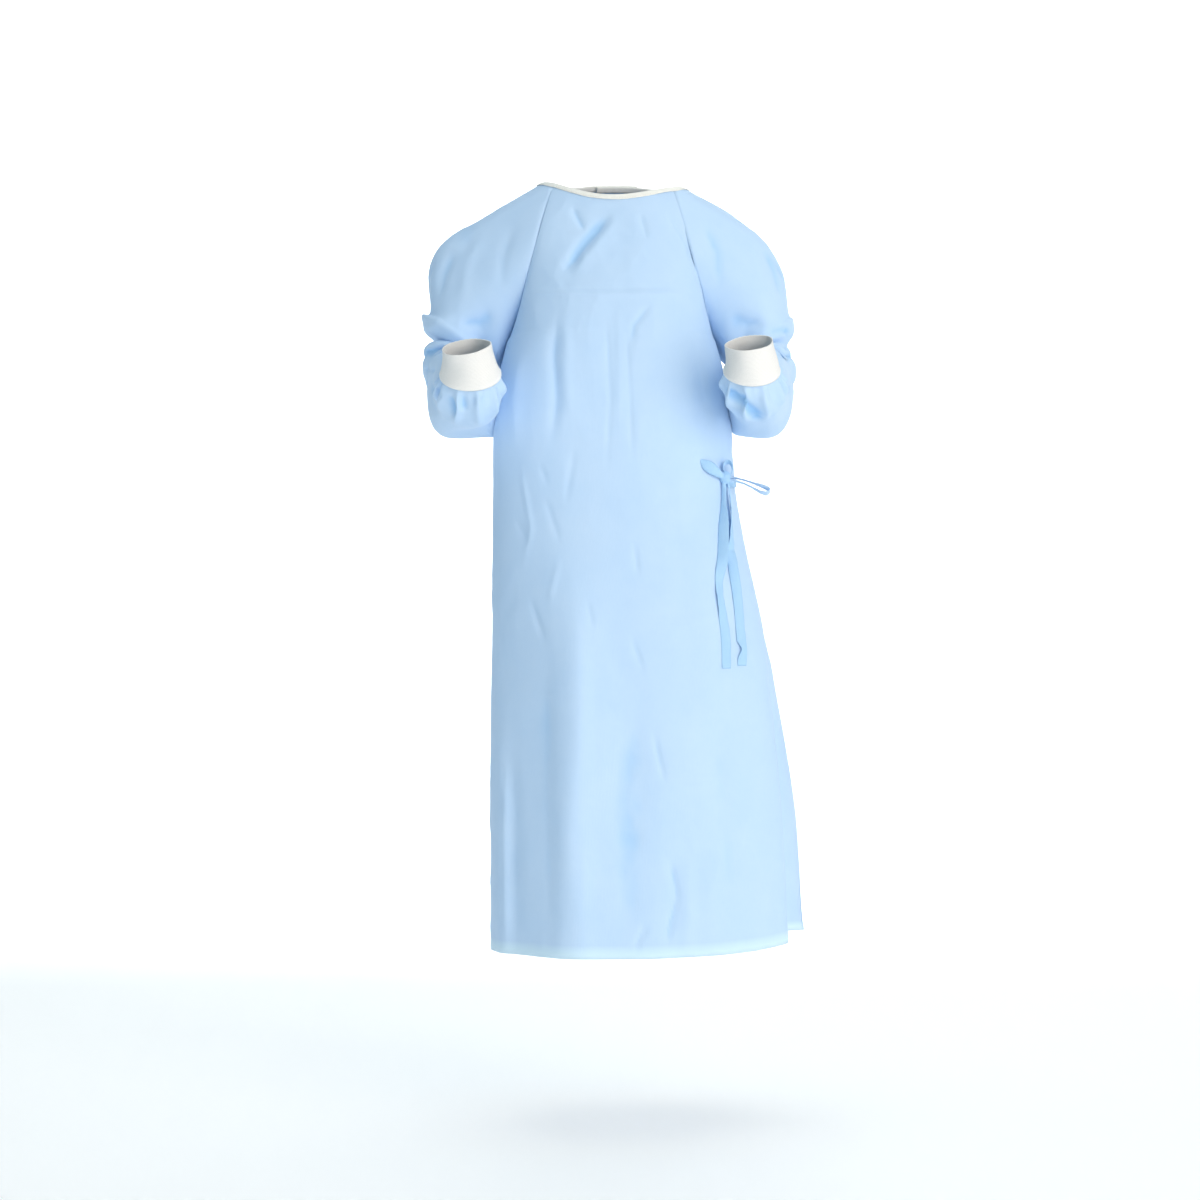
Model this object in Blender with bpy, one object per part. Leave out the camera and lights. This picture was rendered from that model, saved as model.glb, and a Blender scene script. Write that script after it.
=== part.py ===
# Surgical gown, filled out as it is worn, with nobody in it: a front panel, two back panels
# that wrap, raglan sleeves with knitted cuffs, a bound neck and a tied waist belt.
# Metres, +Z up, front towards -Y, the wearer's left towards +X. The origin is the middle of the
# neck opening, level with the places where the shoulders carry the cloth.

import math

import bmesh
import bpy
import numpy as np
from mathutils import Vector
from mathutils.bvhtree import BVHTree

# Cloth and seams
CLOTH = 0.0015
KNIT = 0.0020
SEAM_GAP = 0.0003

# Neck opening and its binding, a folded strip that takes the edge between its two legs
NECK_HALF_WIDTH = 0.112
NECK_FRONT = -0.080
NECK_BACK = 0.078
NECK_FRONT_DROP = 0.024
NECK_BACK_RISE = 0.010
NECK_LEAN = 0.004
NECK_DIP = 3.0
NECK_SEAM_ANGLE = {"front": math.radians(35), "back": math.radians(40)}
BINDING_HEIGHT = 0.008
BINDING_LEG = 0.0009
BINDING_GAP = 0.0007
BINDING_CORNER_GAP = 0.0012

# Body: how far below the origin the underarm and the hem lie
UNDERARM = 0.250
HEM = 1.180
HEM_RIGHT, HEM_FRONT, HEM_LEFT, HEM_BACK = 1.182, 1.180, 1.160, 1.176

YOKE_ROWS = 12
SKIRT_ROWS = 17
FRONT_COLUMNS = 24
BACK_COLUMNS = (7, 11, 3)

# One row for each level below the underarm. Seams are the side seams; corner swells the plan
# between a seam and the middle of the front (f) or back (b), on the wearer's right or left.
BODY_COLUMNS = (
    "drop", "seam_right", "seam_left", "seam_y", "front_y", "back_y", "square_front", "square_back",
    "corner_fr", "corner_fl", "corner_br", "corner_bl",
)
BODY = (
    (0.250, -0.157, 0.154, 0.012, -0.150, 0.127, 3.0, 2.3, 0.07, 0.06, 0.00, 0.00),
    (0.320, -0.160, 0.158, 0.009, -0.153, 0.125, 3.2, 2.3, 0.15, 0.14, 0.02, 0.02),
    (0.395, -0.162, 0.163, 0.006, -0.154, 0.118, 3.0, 2.2, 0.18, 0.16, 0.04, 0.04),
    (0.462, -0.164, 0.166, 0.004, -0.154, 0.108, 2.8, 2.2, 0.17, 0.16, 0.04, 0.04),
    (0.560, -0.168, 0.182, 0.000, -0.162, 0.130, 2.6, 2.2, 0.15, 0.16, 0.06, 0.12),
    (0.700, -0.174, 0.208, -0.004, -0.174, 0.158, 2.4, 2.2, 0.12, 0.18, 0.06, 0.22),
    (0.880, -0.180, 0.221, -0.008, -0.186, 0.182, 2.3, 2.2, 0.09, 0.20, 0.04, 0.34),
    (1.180, -0.186, 0.230, -0.010, -0.198, 0.205, 2.2, 2.2, 0.05, 0.24, 0.02, 0.46),
)

# One row for each level of the yoke, from the underarm (0) up to the neckline (1). Turn is how far
# the ends of a row have come round from the sides towards the raglan seams at the neck.
YOKE_COLUMNS = (
    "climb", "turn", "front_y", "front_drop", "back_y", "back_drop", "square_front", "square_back", "dip",
)
YOKE = (
    (0.00, 0.00, -0.150, 0.250, 0.127, 0.250, 3.0, 2.3, 0.9),
    (0.25, 0.42, -0.143, 0.192, 0.131, 0.185, 2.7, 2.3, 1.2),
    (0.50, 0.70, -0.125, 0.136, 0.126, 0.120, 2.4, 2.2, 1.8),
    (0.75, 0.88, -0.103, 0.080, 0.106, 0.054, 2.2, 2.1, 2.4),
    (1.00, 1.00, NECK_FRONT, NECK_FRONT_DROP, NECK_BACK, -NECK_BACK_RISE, 2.0, 2.0, NECK_DIP),
)

# Raglan seams, given on the left side: two handles between the underarm and the neckline
RAGLAN = {
    "front": ((0.152, -0.080, -0.224), (0.120, -0.122, -0.105)),
    "back": ((0.158, 0.075, -0.215), (0.140, 0.122, -0.060)),
}

# Soft folds of the body: where each starts and ends, as a share of the row from the right seam to
# the left and a drop below the origin, with its width and its height out of the cloth.
FOLD_COLUMNS = ("share_top", "drop_top", "share_low", "drop_low", "width", "height")
FRONT_FOLDS = (
    (0.36, 0.560, 0.345, 1.300, 0.050, 0.020),
    (0.155, 0.800, 0.150, 1.300, 0.018, 0.010),
    (0.50, 0.030, 0.30, 0.110, 0.012, -0.006),
    (0.60, 0.950, 0.585, 1.300, 0.040, -0.006),
    (0.865, 0.780, 0.875, 1.300, 0.020, 0.006),
    (0.28, 0.300, 0.23, 0.420, 0.016, -0.005),
)
BACK_FOLDS = (
    (0.30, 0.470, 0.26, 1.300, 0.035, 0.014),
    (0.44, 0.520, 0.42, 1.300, 0.030, -0.012),
    (0.56, 0.470, 0.57, 1.300, 0.036, 0.015),
    (0.70, 0.500, 0.71, 1.300, 0.030, -0.012),
    (0.35, 0.120, 0.42, 0.420, 0.022, -0.008),
    (0.66, 0.110, 0.62, 0.420, 0.022, -0.008),
)
FOLD_FADE = 0.24
SEAM_FADE = 0.05
NECK_FADE = 0.12

# Back opening: share of each back row, from the right seam to the left, at which the free edges lie
EDGE_COLUMNS = ("drop", "under_edge", "wrap_edge")
BACK_EDGES = (
    (-0.010, 0.36, 0.70),
    (0.205, 0.36, 0.74),
    (0.462, 0.32, 0.86),
    (0.700, 0.30, 0.87),
    (1.180, 0.28, 0.88),
)
LAP_GAP = 0.0042
LAP_EASE = 0.16

# Sleeves. The path runs down the upper arm, round the elbow, along the forearm and up to the cuff.
ARM_Y = 0.012
ELBOW_DROP = 0.248
UPPER_ARM = 0.022
ELBOW_RADIUS = 0.078
FOREARM_LENGTH = 0.108
FOREARM_PITCH = {"right": math.radians(-4), "left": math.radians(-1)}
CUFF_BEND = 0.062
CUFF_PITCH = math.radians(50)
CUFF_TOP_PITCH = math.radians(63)
CUFF_LENGTH = 0.048

# Each ring of the arm leans out from the body by this much: stage along the arm, lean in degrees
LEAN_COLUMNS = ("stage", "lean")
ARM_LEAN = ((0.0, 34), (1.0, 24), (1.6, 0), (4.0, 0))

NECK_STEPS = 9
CAP_RINGS = 6
ARM_RINGS = 2
ELBOW_RINGS = 8
FOREARM_RINGS = 2
GATHER_RINGS = 5
CUFF_RINGS = 4
CUFF_SIDES = 28
GATHERS = 11
GATHER_DEPTH = 0.0042
GATHER_FULLNESS = 0.005

# One row for each stage of a sleeve: centre across, half width across, half depth front to back
STAGE_COLUMNS = ("stage", "across", "half_width", "half_depth")
SLEEVES = {
    "right": (
        (0.0, 0.239, 0.056, 0.078),
        (1.0, 0.239, 0.054, 0.071),
        (2.0, 0.237, 0.049, 0.069),
        (3.0, 0.218, 0.049, 0.052),
        (4.0, 0.2126, 0.0430, 0.0370),
    ),
    "left": (
        (0.0, 0.232, 0.053, 0.078),
        (1.0, 0.233, 0.051, 0.071),
        (2.0, 0.231, 0.046, 0.069),
        (3.0, 0.213, 0.046, 0.050),
        (4.0, 0.2048, 0.0395, 0.0350),
    ),
}
CUFF_SWAY = {"right": 0.14, "left": -0.12}
CUFF_MOUTH = {"right": (0.0365, 0.030), "left": (0.0355, 0.029)}
CUFF_SEAM_FLARE = 0.0030

# Where a sleeve leaves the neck at the top of the shoulder: outwards and down, and how fully; and how
# far the cloth stands out over the shoulder, with the stage of the cap where it stands out most
SHOULDER = {"right": (0.86, -0.51, 1.20), "left": (0.89, -0.45, 1.06)}
SHOULDER_FULL = {"right": (0.018, 0.66), "left": (0.009, 0.52)}
CAP_FULLNESS = 0.75
SLEEVE_SQUARE = {"right": 0.70, "left": 0.84}

# Folds of a sleeve: stage along it, angle round it (0 at the inside, 90 front, 180 outside), how far
# each way it reaches, how much it slants, and its height out of the cloth.
SLEEVE_FOLD_COLUMNS = ("stage", "angle", "stage_width", "angle_width", "slant", "height")
SLEEVE_FOLDS = {
    "right": (
        (0.62, 175, 0.26, 75, 0.10, 0.018),
        (1.12, 170, 0.07, 80, 0.05, -0.018),
        (1.36, 178, 0.12, 70, -0.05, 0.009),
        (1.62, 120, 0.06, 60, 0.06, -0.008),
        (2.45, 300, 0.20, 60, 0.10, -0.007),
    ),
    "left": (
        (0.60, 175, 0.32, 70, 0.12, 0.008),
        (1.16, 165, 0.08, 80, 0.06, -0.018),
        (1.45, 175, 0.14, 70, -0.05, 0.004),
        (1.66, 110, 0.06, 60, 0.06, -0.008),
        (2.30, 290, 0.20, 55, -0.12, -0.009),
    ),
}

# Waist tie at the wearer's left: a knot on the front, tapes 17 mm wide
TAPE_WIDTH = 0.017
TAPE = 0.0012
TAPE_GAP = 0.0006
KNOT_SEAT = (0.1650, -0.458)
KNOT_HALF = (0.0085, 0.0065, 0.0095)
KNOT_PINCH = 0.22
KNOT_PRESS = 0.93
KNOT_CLEAR = 1.14
BELT_DROP = 0.466
BELT_START = 0.83
BELT_STEPS = 16

# Bows, from the middle of the knot: across, back and up. The tape of a bow is set on edge.
BOWS = {
    "tie_bow": (
        (0.0079, 0.000, 0.0020),
        (0.0290, 0.001, -0.0020),
        (0.0495, 0.003, -0.0100),
        (0.0635, 0.004, -0.0165),
        (0.0655, 0.004, -0.0215),
        (0.0535, 0.003, -0.0220),
        (0.0325, 0.002, -0.0115),
        (0.0082, 0.000, -0.0032),
    ),
    "tie_loop": (
        (0.0028, 0.000, 0.0095),
        (0.0085, 0.000, 0.0150),
        (0.0146, 0.001, 0.0160),
        (0.0168, 0.001, 0.0115),
        (0.0140, 0.000, 0.0080),
        (0.0096, 0.000, 0.0060),
    ),
}
BOW_WIDTH = 0.012
BOW_TILT = math.radians(28)

# The short tape sewn to the front: across, up, and its width there
FRONT_TAPE = (
    (0.1345, -0.4345, 0.004),
    (0.1385, -0.4390, 0.012),
    (0.1440, -0.4435, 0.017),
    (0.1500, -0.4500, 0.013),
    (0.1548, -0.4545, 0.008),
)

# Neck tab: share of the back row where it starts and ends, and the rows it covers below the neck
TAB_SHARES = (0.56, 0.82)
TAB_ROWS = (0.62, 1.0, 1.5)
TAB_STEPS = 10

# Hanging ends, one row for each point: across, up, width, turn about its own length in degrees (0 lies
# flat on the panel), and how far it stands off
TIE_ENDS = {
    "tie_end_front": (
        (0.1625, -0.4680, 0.007, 8, 0.0040),
        (0.1632, -0.4990, 0.010, 30, 0.0016),
        (0.1622, -0.5350, 0.016, 10, 0.0004),
        (0.1612, -0.5750, 0.016, -18, 0.0002),
        (0.1600, -0.6200, 0.016, -38, 0.0000),
        (0.1650, -0.6600, 0.016, -22, 0.0000),
        (0.1695, -0.7050, 0.016, -6, 0.0000),
        (0.1705, -0.7480, 0.016, 6, 0.0000),
    ),
    "tie_end_side": (
        (0.1702, -0.4680, 0.007, -10, 0.0040),
        (0.1750, -0.5000, 0.010, -25, 0.0016),
        (0.1780, -0.5500, 0.015, -34, 0.0004),
        (0.1790, -0.5950, 0.016, -24, 0.0002),
        (0.1872, -0.6400, 0.016, -8, 0.0000),
        (0.1918, -0.6950, 0.016, 14, 0.0000),
        (0.1942, -0.7440, 0.016, 6, 0.0000),
    ),
}


def rows_of(table, columns):
    return [dict(zip(columns, row)) for row in table]


def follow(at, table, columns, name):
    """A table's column at any level, on a smooth curve through its rows."""
    levels = np.array([row[0] for row in table])
    values = np.array([row[columns.index(name)] for row in table])
    slopes = np.gradient(values, levels)
    i = int(np.clip(np.searchsorted(levels, at) - 1, 0, len(levels) - 2))
    step = levels[i + 1] - levels[i]
    t = (min(max(at, levels[0]), levels[-1]) - levels[i]) / step
    rise = values[i] * (2 * t**3 - 3 * t**2 + 1) + values[i + 1] * (3 * t**2 - 2 * t**3)
    return rise + step * (slopes[i] * (t**3 - 2 * t**2 + t) + slopes[i + 1] * (t**3 - t**2))


def ease(low, high, at):
    t = np.clip((at - low) / (high - low), 0, 1)
    return t * t * (3 - 2 * t)


def unit(vectors):
    return vectors / np.maximum(np.linalg.norm(vectors, axis=-1, keepdims=True), 1e-12)


def bezier(points, t):
    a, b, c, d = (np.array(p) for p in points)
    return a * (1 - t) ** 3 + 3 * b * t * (1 - t) ** 2 + 3 * c * t**2 * (1 - t) + d * t**3


def neck_point(angle):
    """The neckline, from 0 at the wearer's left, through the front at 90 degrees."""
    front = math.sin(angle) > 0
    reach = abs(math.sin(angle))
    y = (NECK_FRONT if front else NECK_BACK) * reach
    z = (-NECK_FRONT_DROP if front else NECK_BACK_RISE) * reach**NECK_DIP
    return np.array([NECK_HALF_WIDTH * math.cos(angle), y, z - NECK_LEAN * math.cos(angle)])


def side_angle(side, angle):
    return angle if side == "left" else math.pi - angle


def mirrored(point, side):
    return np.array([point[0] * (1 if side == "left" else -1), point[1], point[2]])


def underarm(side):
    seam = "seam_" + side
    at = [follow(UNDERARM, BODY, BODY_COLUMNS, name) for name in (seam, "seam_y")]
    return np.array(at + [-UNDERARM])


def raglan(side, face, climb):
    """A point of a raglan seam, from the underarm at 0 to the neckline at 1."""
    angle = NECK_SEAM_ANGLE[face] * (1 if face == "front" else -1)
    handles = [mirrored(p, side) for p in RAGLAN[face]]
    return bezier([underarm(side)] + handles + [neck_point(side_angle(side, angle))], climb)


def half_ring(ends, middle_y, middle_z, turn, square, dip, corners):
    """Half a plan outline, from its right end to its left."""
    angle = np.linspace(math.pi - turn, turn, 241)
    power = 2 / square
    across = np.sign(np.cos(angle)) * np.abs(np.cos(angle)) ** power / abs(math.cos(turn)) ** power
    least = math.sin(turn) ** power
    reach = (np.abs(np.sin(angle)) ** power - least) / (1 - least)
    least = math.sin(turn) ** dip
    sink = (np.abs(np.sin(angle)) ** dip - least) / (1 - least)
    corner = np.where(across < 0, corners[0], corners[1])
    swell = 1 + corner * 4 * reach * (1 - reach)
    base = ends[0] + (ends[1] - ends[0]) * ((across + 1) / 2)[:, None]
    centre = (ends[0][0] + ends[1][0]) / 2
    x = centre + (ends[1][0] - ends[0][0]) / 2 * across * swell
    y = base[:, 1] + (middle_y - base[:, 1]) * reach
    z = base[:, 2] + (middle_z - base[:, 2]) * sink
    return np.stack([x, y, z], axis=1)


def spaced(line, shares):
    """Points at these shares of a line's length."""
    lengths = np.concatenate([[0], np.cumsum(np.linalg.norm(np.diff(line, axis=0), axis=1))])
    along = np.asarray(shares) * lengths[-1]
    return np.stack([np.interp(along, lengths, line[:, k]) for k in range(3)], axis=1)


def body_row(face, level):
    """One row of the front or back, at level 0 (neckline) to 1 (underarm) to 2 (hem)."""
    sides = ("right", "left")
    if level <= 1:
        climb = 1 - level
        at = {name: follow(climb, YOKE, YOKE_COLUMNS, name) for name in YOKE_COLUMNS}
        ends = [raglan(side, face, climb) for side in sides]
        corners = [level * BODY[0][BODY_COLUMNS.index(f"corner_{face[0]}{side[0]}")] for side in sides]
        turn = max(at["turn"], 0) * NECK_SEAM_ANGLE[face]
        return half_ring(ends, at[face + "_y"], -at[face + "_drop"], turn, at["square_" + face], at["dip"],
                         corners)
    share = level - 1
    drop = UNDERARM + (HEM - UNDERARM) * share
    at = {name: follow(drop, BODY, BODY_COLUMNS, name) for name in BODY_COLUMNS}
    hems = {"right": HEM_RIGHT, "left": HEM_LEFT, "front": HEM_FRONT, "back": HEM_BACK}
    low = {name: -(UNDERARM + (hem - UNDERARM) * share) for name, hem in hems.items()}
    ends = [np.array([at["seam_" + side], at["seam_y"], low[side]]) for side in sides]
    corners = [at[f"corner_{face[0]}{side[0]}"] for side in sides]
    return half_ring(ends, at[face + "_y"], low[face], 0, at["square_" + face], YOKE[0][-1], corners)


def normals_of(grid, flip):
    """Unit normals of a grid of points, from the differences between neighbours."""
    return flip * unit(np.cross(np.gradient(grid, axis=0), np.gradient(grid, axis=1)))


def folded(grid, folds, flip, shares):
    """The grid with its folds raised along its normals."""
    lengths = np.linalg.norm(np.diff(grid, axis=1), axis=2).sum(axis=1)
    drops = -grid[:, :, 2]
    lift = np.zeros(grid.shape[:2])
    for fold in rows_of(folds, FOLD_COLUMNS):
        t = (drops - fold["drop_top"]) / (fold["drop_low"] - fold["drop_top"])
        line = fold["share_top"] + (fold["share_low"] - fold["share_top"]) * np.clip(t, 0, 1)
        off = (shares[None, :] - line) * lengths[:, None] / fold["width"]
        fade = FOLD_FADE / (fold["drop_low"] - fold["drop_top"])
        grows = ease(-fade * 0.2, fade, t) * (1 - ease(1 - fade * 0.5, 1 + fade * 0.5, t))
        lift += fold["height"] * grows * np.exp(-off**2)
    # the seams and the neckline stay where the next panel meets them
    edge = ease(0, SEAM_FADE, shares) * ease(0, SEAM_FADE, 1 - shares)
    lift *= edge[None, :] * ease(0, NECK_FADE, LEVELS)[:, None]
    return grid + normals_of(grid, flip) * lift[:, :, None]


LEVELS = np.concatenate([np.linspace(0, 1, YOKE_ROWS + 1), 1 + np.linspace(0, 1, SKIRT_ROWS + 1)[1:]])
FINE = np.linspace(0, 1, 121)


def face_grid(face):
    """The whole front or back, finely divided across, with its folds."""
    grid = np.array([spaced(body_row(face, level), FINE) for level in LEVELS])
    if face == "front":
        return folded(grid, FRONT_FOLDS, 1, FINE)
    return folded(grid, BACK_FOLDS, -1, FINE)


def sampled(grid, shares):
    """Points of a finely divided grid at shares that may change from row to row."""
    return np.array([[[np.interp(s, FINE, row[:, k]) for k in range(3)] for s in line]
                     for row, line in zip(grid, shares)])


def ring_frame(pitch, sway=0.0):
    """The directions along the arm, across it and towards the inside of the elbow."""
    along = np.array([math.sin(sway), -math.cos(pitch) * math.cos(sway), math.sin(pitch) * math.cos(sway)])
    across = unit(np.array([1.0, 0, 0]) - along * along[0])
    return along, across, np.cross(along, across)


def arm_path(side):
    """Stage, place and pitch of each ring down the arm. Stages: 0 upper arm, 1 elbow starts, 2 elbow
    ends, 3 forearm ends, 4 cuff seam."""
    down = -math.pi / 2
    pitch_out = FOREARM_PITCH[side]
    stations = []
    for i in range(ARM_RINGS):
        stage = i / ARM_RINGS
        stations.append((stage, ARM_Y, -ELBOW_DROP + UPPER_ARM * (1 - stage), down))
    for i in range(ELBOW_RINGS + 1):
        share = i / ELBOW_RINGS
        pitch = down + (pitch_out - down) * share
        stations.append((1 + share, ARM_Y - ELBOW_RADIUS - math.sin(pitch) * ELBOW_RADIUS,
                         -ELBOW_DROP - math.cos(pitch) * ELBOW_RADIUS, pitch))
    y, z = stations[-1][1:3]
    for i in range(1, FOREARM_RINGS + 1):
        share = i / FOREARM_RINGS
        run = FOREARM_LENGTH * share
        stations.append((2 + share, y - math.cos(pitch_out) * run, z + math.sin(pitch_out) * run, pitch_out))
    y, z = stations[-1][1:3]
    pivot = (y + math.sin(pitch_out) * CUFF_BEND, z + math.cos(pitch_out) * CUFF_BEND)
    for i in range(1, GATHER_RINGS + 1):
        share = i / GATHER_RINGS
        pitch = pitch_out + (CUFF_PITCH - pitch_out) * share
        stations.append((3 + share, pivot[0] - math.sin(pitch) * CUFF_BEND,
                         pivot[1] - math.cos(pitch) * CUFF_BEND, pitch))
    return stations


def raglan_ring(side):
    """The sleeve's head: up the front raglan seam, along the neckline, down the back seam."""
    climbs = 1 - LEVELS[:YOKE_ROWS + 1]
    front = [raglan(side, "front", climb) for climb in climbs[::-1]]
    angles = np.linspace(NECK_SEAM_ANGLE["front"], -NECK_SEAM_ANGLE["back"], NECK_STEPS + 1)[1:-1]
    neck = [neck_point(side_angle(side, angle)) for angle in angles]
    back = [raglan(side, "back", climb) for climb in climbs]
    return np.array(front + neck + back[:-1])


def ring_angles():
    """How far round the sleeve each point of its rings lies: 0 inside, 90 front, 180 outside."""
    front = np.linspace(0, 150, YOKE_ROWS + 1)
    neck = np.linspace(150, 210, NECK_STEPS + 1)[1:-1]
    back = np.linspace(210, 360, YOKE_ROWS + 1)[:-1]
    return np.radians(np.concatenate([front, neck, back]))


def sleeve_ring(side, stage, y, z, pitch):
    """One ring of the arm, with its share of the folds and gathers."""
    sign = 1 if side == "left" else -1
    angles = ring_angles()
    size = {name: follow(stage, SLEEVES[side], STAGE_COLUMNS, name) for name in STAGE_COLUMNS}
    lift = np.zeros(len(angles))
    for fold in rows_of(SLEEVE_FOLDS[side], SLEEVE_FOLD_COLUMNS):
        turn = (np.degrees(angles) - fold["angle"] + 180) % 360 - 180
        off = (stage - fold["stage"] - fold["slant"] * turn / 90) / fold["stage_width"]
        lift += fold["height"] * np.exp(-off**2) * np.exp(-(turn / fold["angle_width"]) ** 2)
    gather = ease(2.9, 3.5, stage) * (1 - 0.55 * ease(3.75, 4.0, stage))
    lift += GATHER_DEPTH * gather * np.cos(np.linspace(0, 2 * math.pi * GATHERS, len(angles) + 1)[:-1])
    lift += GATHER_FULLNESS * math.sin(math.pi * ease(3.0, 4.0, stage))
    square = 1 - (1 - SLEEVE_SQUARE[side]) * ease(0.6, 1.4, stage) * (1 - ease(2.6, 3.6, stage))
    wide = (size["half_width"] + lift) * -np.sign(np.cos(angles)) * np.abs(np.cos(angles)) ** square
    deep = (size["half_depth"] + lift) * np.sign(np.sin(angles)) * np.abs(np.sin(angles)) ** square
    lean = math.radians(follow(stage, ARM_LEAN, LEAN_COLUMNS, "lean"))
    along, _, inward = ring_frame(pitch)
    centre = np.array([sign * size["across"], y, z])
    outward = np.array([sign * math.cos(lean), 0, 0]) - along * math.sin(lean)
    return centre + outward * wide[:, None] + inward * deep[:, None]


def sleeve_grid(side):
    """Rings of a sleeve from its raglan head to its cuff seam."""
    sign = 1 if side == "left" else -1
    rings = [sleeve_ring(side, *station) for station in arm_path(side)]
    first, second = rings[0], rings[1]
    head = raglan_ring(side)
    out, down, fullness = SHOULDER[side]
    top = np.exp(-((np.degrees(ring_angles()) - 180) / 70) ** 2)[:, None]
    start = unit(unit(first - head) * (1 - top) + np.array([sign * out, 0.0, down]) * top)
    arrive = unit(unit(second - first) * (1 - top) + np.array([0.0, 0.0, -1.0]) * top)
    pull = np.linalg.norm(first - head, axis=1)[:, None] * (CAP_FULLNESS + (fullness - CAP_FULLNESS) * top)
    stand, most = SHOULDER_FULL[side]
    cap = []
    for t in np.linspace(0, 1, CAP_RINGS + 1)[:-1]:
        ring = head * (2 * t**3 - 3 * t**2 + 1) + first * (3 * t**2 - 2 * t**3)
        ring = ring + start * pull * (t**3 - 2 * t**2 + t) + arrive * pull * (t**3 - t**2)
        full = stand * math.exp(-((t - most) / 0.3) ** 2) * ease(0, 0.2, t)
        cap.append(ring + top**2 * full * np.array([sign * 0.8, 0.0, 0.6]))
    return np.array(cap + rings)


def cuff_grid(side):
    """Rings of a cuff and their normals, from its seam with the sleeve to its open mouth."""
    sign = 1 if side == "left" else -1
    _, y, z, _ = arm_path(side)[-1]
    size = {name: follow(4.0, SLEEVES[side], STAGE_COLUMNS, name) for name in STAGE_COLUMNS}
    angles = np.linspace(0, 2 * math.pi, CUFF_SIDES + 1)[:-1]
    mouth = CUFF_MOUTH[side]
    centre = np.array([sign * size["across"], y, z])
    rings, normals = [], []
    for i in range(CUFF_RINGS + 1):
        t = i / CUFF_RINGS
        pitch = CUFF_PITCH + (CUFF_TOP_PITCH - CUFF_PITCH) * t
        along, across, inward = ring_frame(pitch, sign * CUFF_SWAY[side] * ease(0, 0.6, t))
        if i:
            centre = centre + along * CUFF_LENGTH / CUFF_RINGS
        else:
            centre = centre + along * SEAM_GAP
        flare = CUFF_SEAM_FLARE * (1 - ease(0, 0.35, t))
        wide = size["half_width"] + (mouth[0] - size["half_width"]) * ease(0, 1, t) + flare
        deep = size["half_depth"] + (mouth[1] - size["half_depth"]) * ease(0, 1, t) + flare
        x, y = -sign * np.cos(angles)[:, None], np.sin(angles)[:, None]
        rings.append(centre + across * x * wide + inward * y * deep)
        normals.append(unit(across * x / wide + inward * y / deep))
    return np.array(rings), np.array(normals)


def seam_shift(grid, normals, edge, closed=False):
    """One edge of a grid, moved in by half the seam gap, in the cloth and square to the seam."""
    flip = edge in ("first_column", "last_column")
    view = (lambda g: np.swapaxes(g, 0, 1)) if flip else (lambda g: g)
    out = grid.copy()
    points, away = view(out), view(normals)
    at, inside = (0, 1) if edge.startswith("first") else (-1, -2)
    line = points[at]
    along = np.roll(line, -1, axis=0) - np.roll(line, 1, axis=0) if closed else np.gradient(line, axis=0)
    square = unit(np.cross(along, away[at]))
    square *= np.sign(np.sum(square * (points[inside] - line), axis=1))[:, None]
    points[at] = line + square * SEAM_GAP / 2
    return out


def material(name, colour, roughness):
    made = bpy.data.materials.new(name)
    made.use_nodes = True
    shader = made.node_tree.nodes["Principled BSDF"]
    shader.inputs["Base Color"].default_value = (*colour, 1)
    shader.inputs["Roughness"].default_value = roughness
    return made


def finished(name, mesh, finish):
    """A named object from a bmesh, with its faces outwards."""
    bmesh.ops.recalc_face_normals(mesh, faces=mesh.faces)
    if mesh.calc_volume(signed=True) < 0:
        bmesh.ops.reverse_faces(mesh, faces=mesh.faces)
    data = bpy.data.meshes.new(name)
    mesh.to_mesh(data)
    mesh.free()
    data.materials.append(finish)
    data.shade_smooth()
    data.set_sharp_from_angle(angle=math.radians(50))
    made = bpy.data.objects.new(name, data)
    bpy.context.scene.collection.objects.link(made)
    return made


def wall(name, grid, normals, thick, finish, closed=False):
    """One cloth piece: the grid is its outside, and its inside lies one thickness behind."""
    rows, columns = grid.shape[:2]
    mesh = bmesh.new()
    outside = [[mesh.verts.new(p) for p in row] for row in grid]
    inside = [[mesh.verts.new(p) for p in row] for row in grid - normals * thick]
    last = columns if closed else columns - 1
    for i in range(rows - 1):
        for j in range(last):
            k = (j + 1) % columns
            mesh.faces.new((outside[i][j], outside[i + 1][j], outside[i + 1][k], outside[i][k]))
            mesh.faces.new((inside[i][j], inside[i][k], inside[i + 1][k], inside[i + 1][j]))
    for j in range(last):
        k = (j + 1) % columns
        mesh.faces.new((outside[0][j], outside[0][k], inside[0][k], inside[0][j]))
        mesh.faces.new((outside[-1][k], outside[-1][j], inside[-1][j], inside[-1][k]))
    if not closed:
        for i in range(rows - 1):
            mesh.faces.new((outside[i + 1][0], outside[i][0], inside[i][0], inside[i + 1][0]))
            mesh.faces.new((outside[i][-1], outside[i + 1][-1], inside[i + 1][-1], inside[i][-1]))
    return finished(name, mesh, finish)


def ring_normals(grid, flip):
    """Normals of a closed tube of rings."""
    around = np.roll(grid, -1, axis=1) - np.roll(grid, 1, axis=1)
    return flip * unit(np.cross(np.gradient(grid, axis=0), around))


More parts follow.
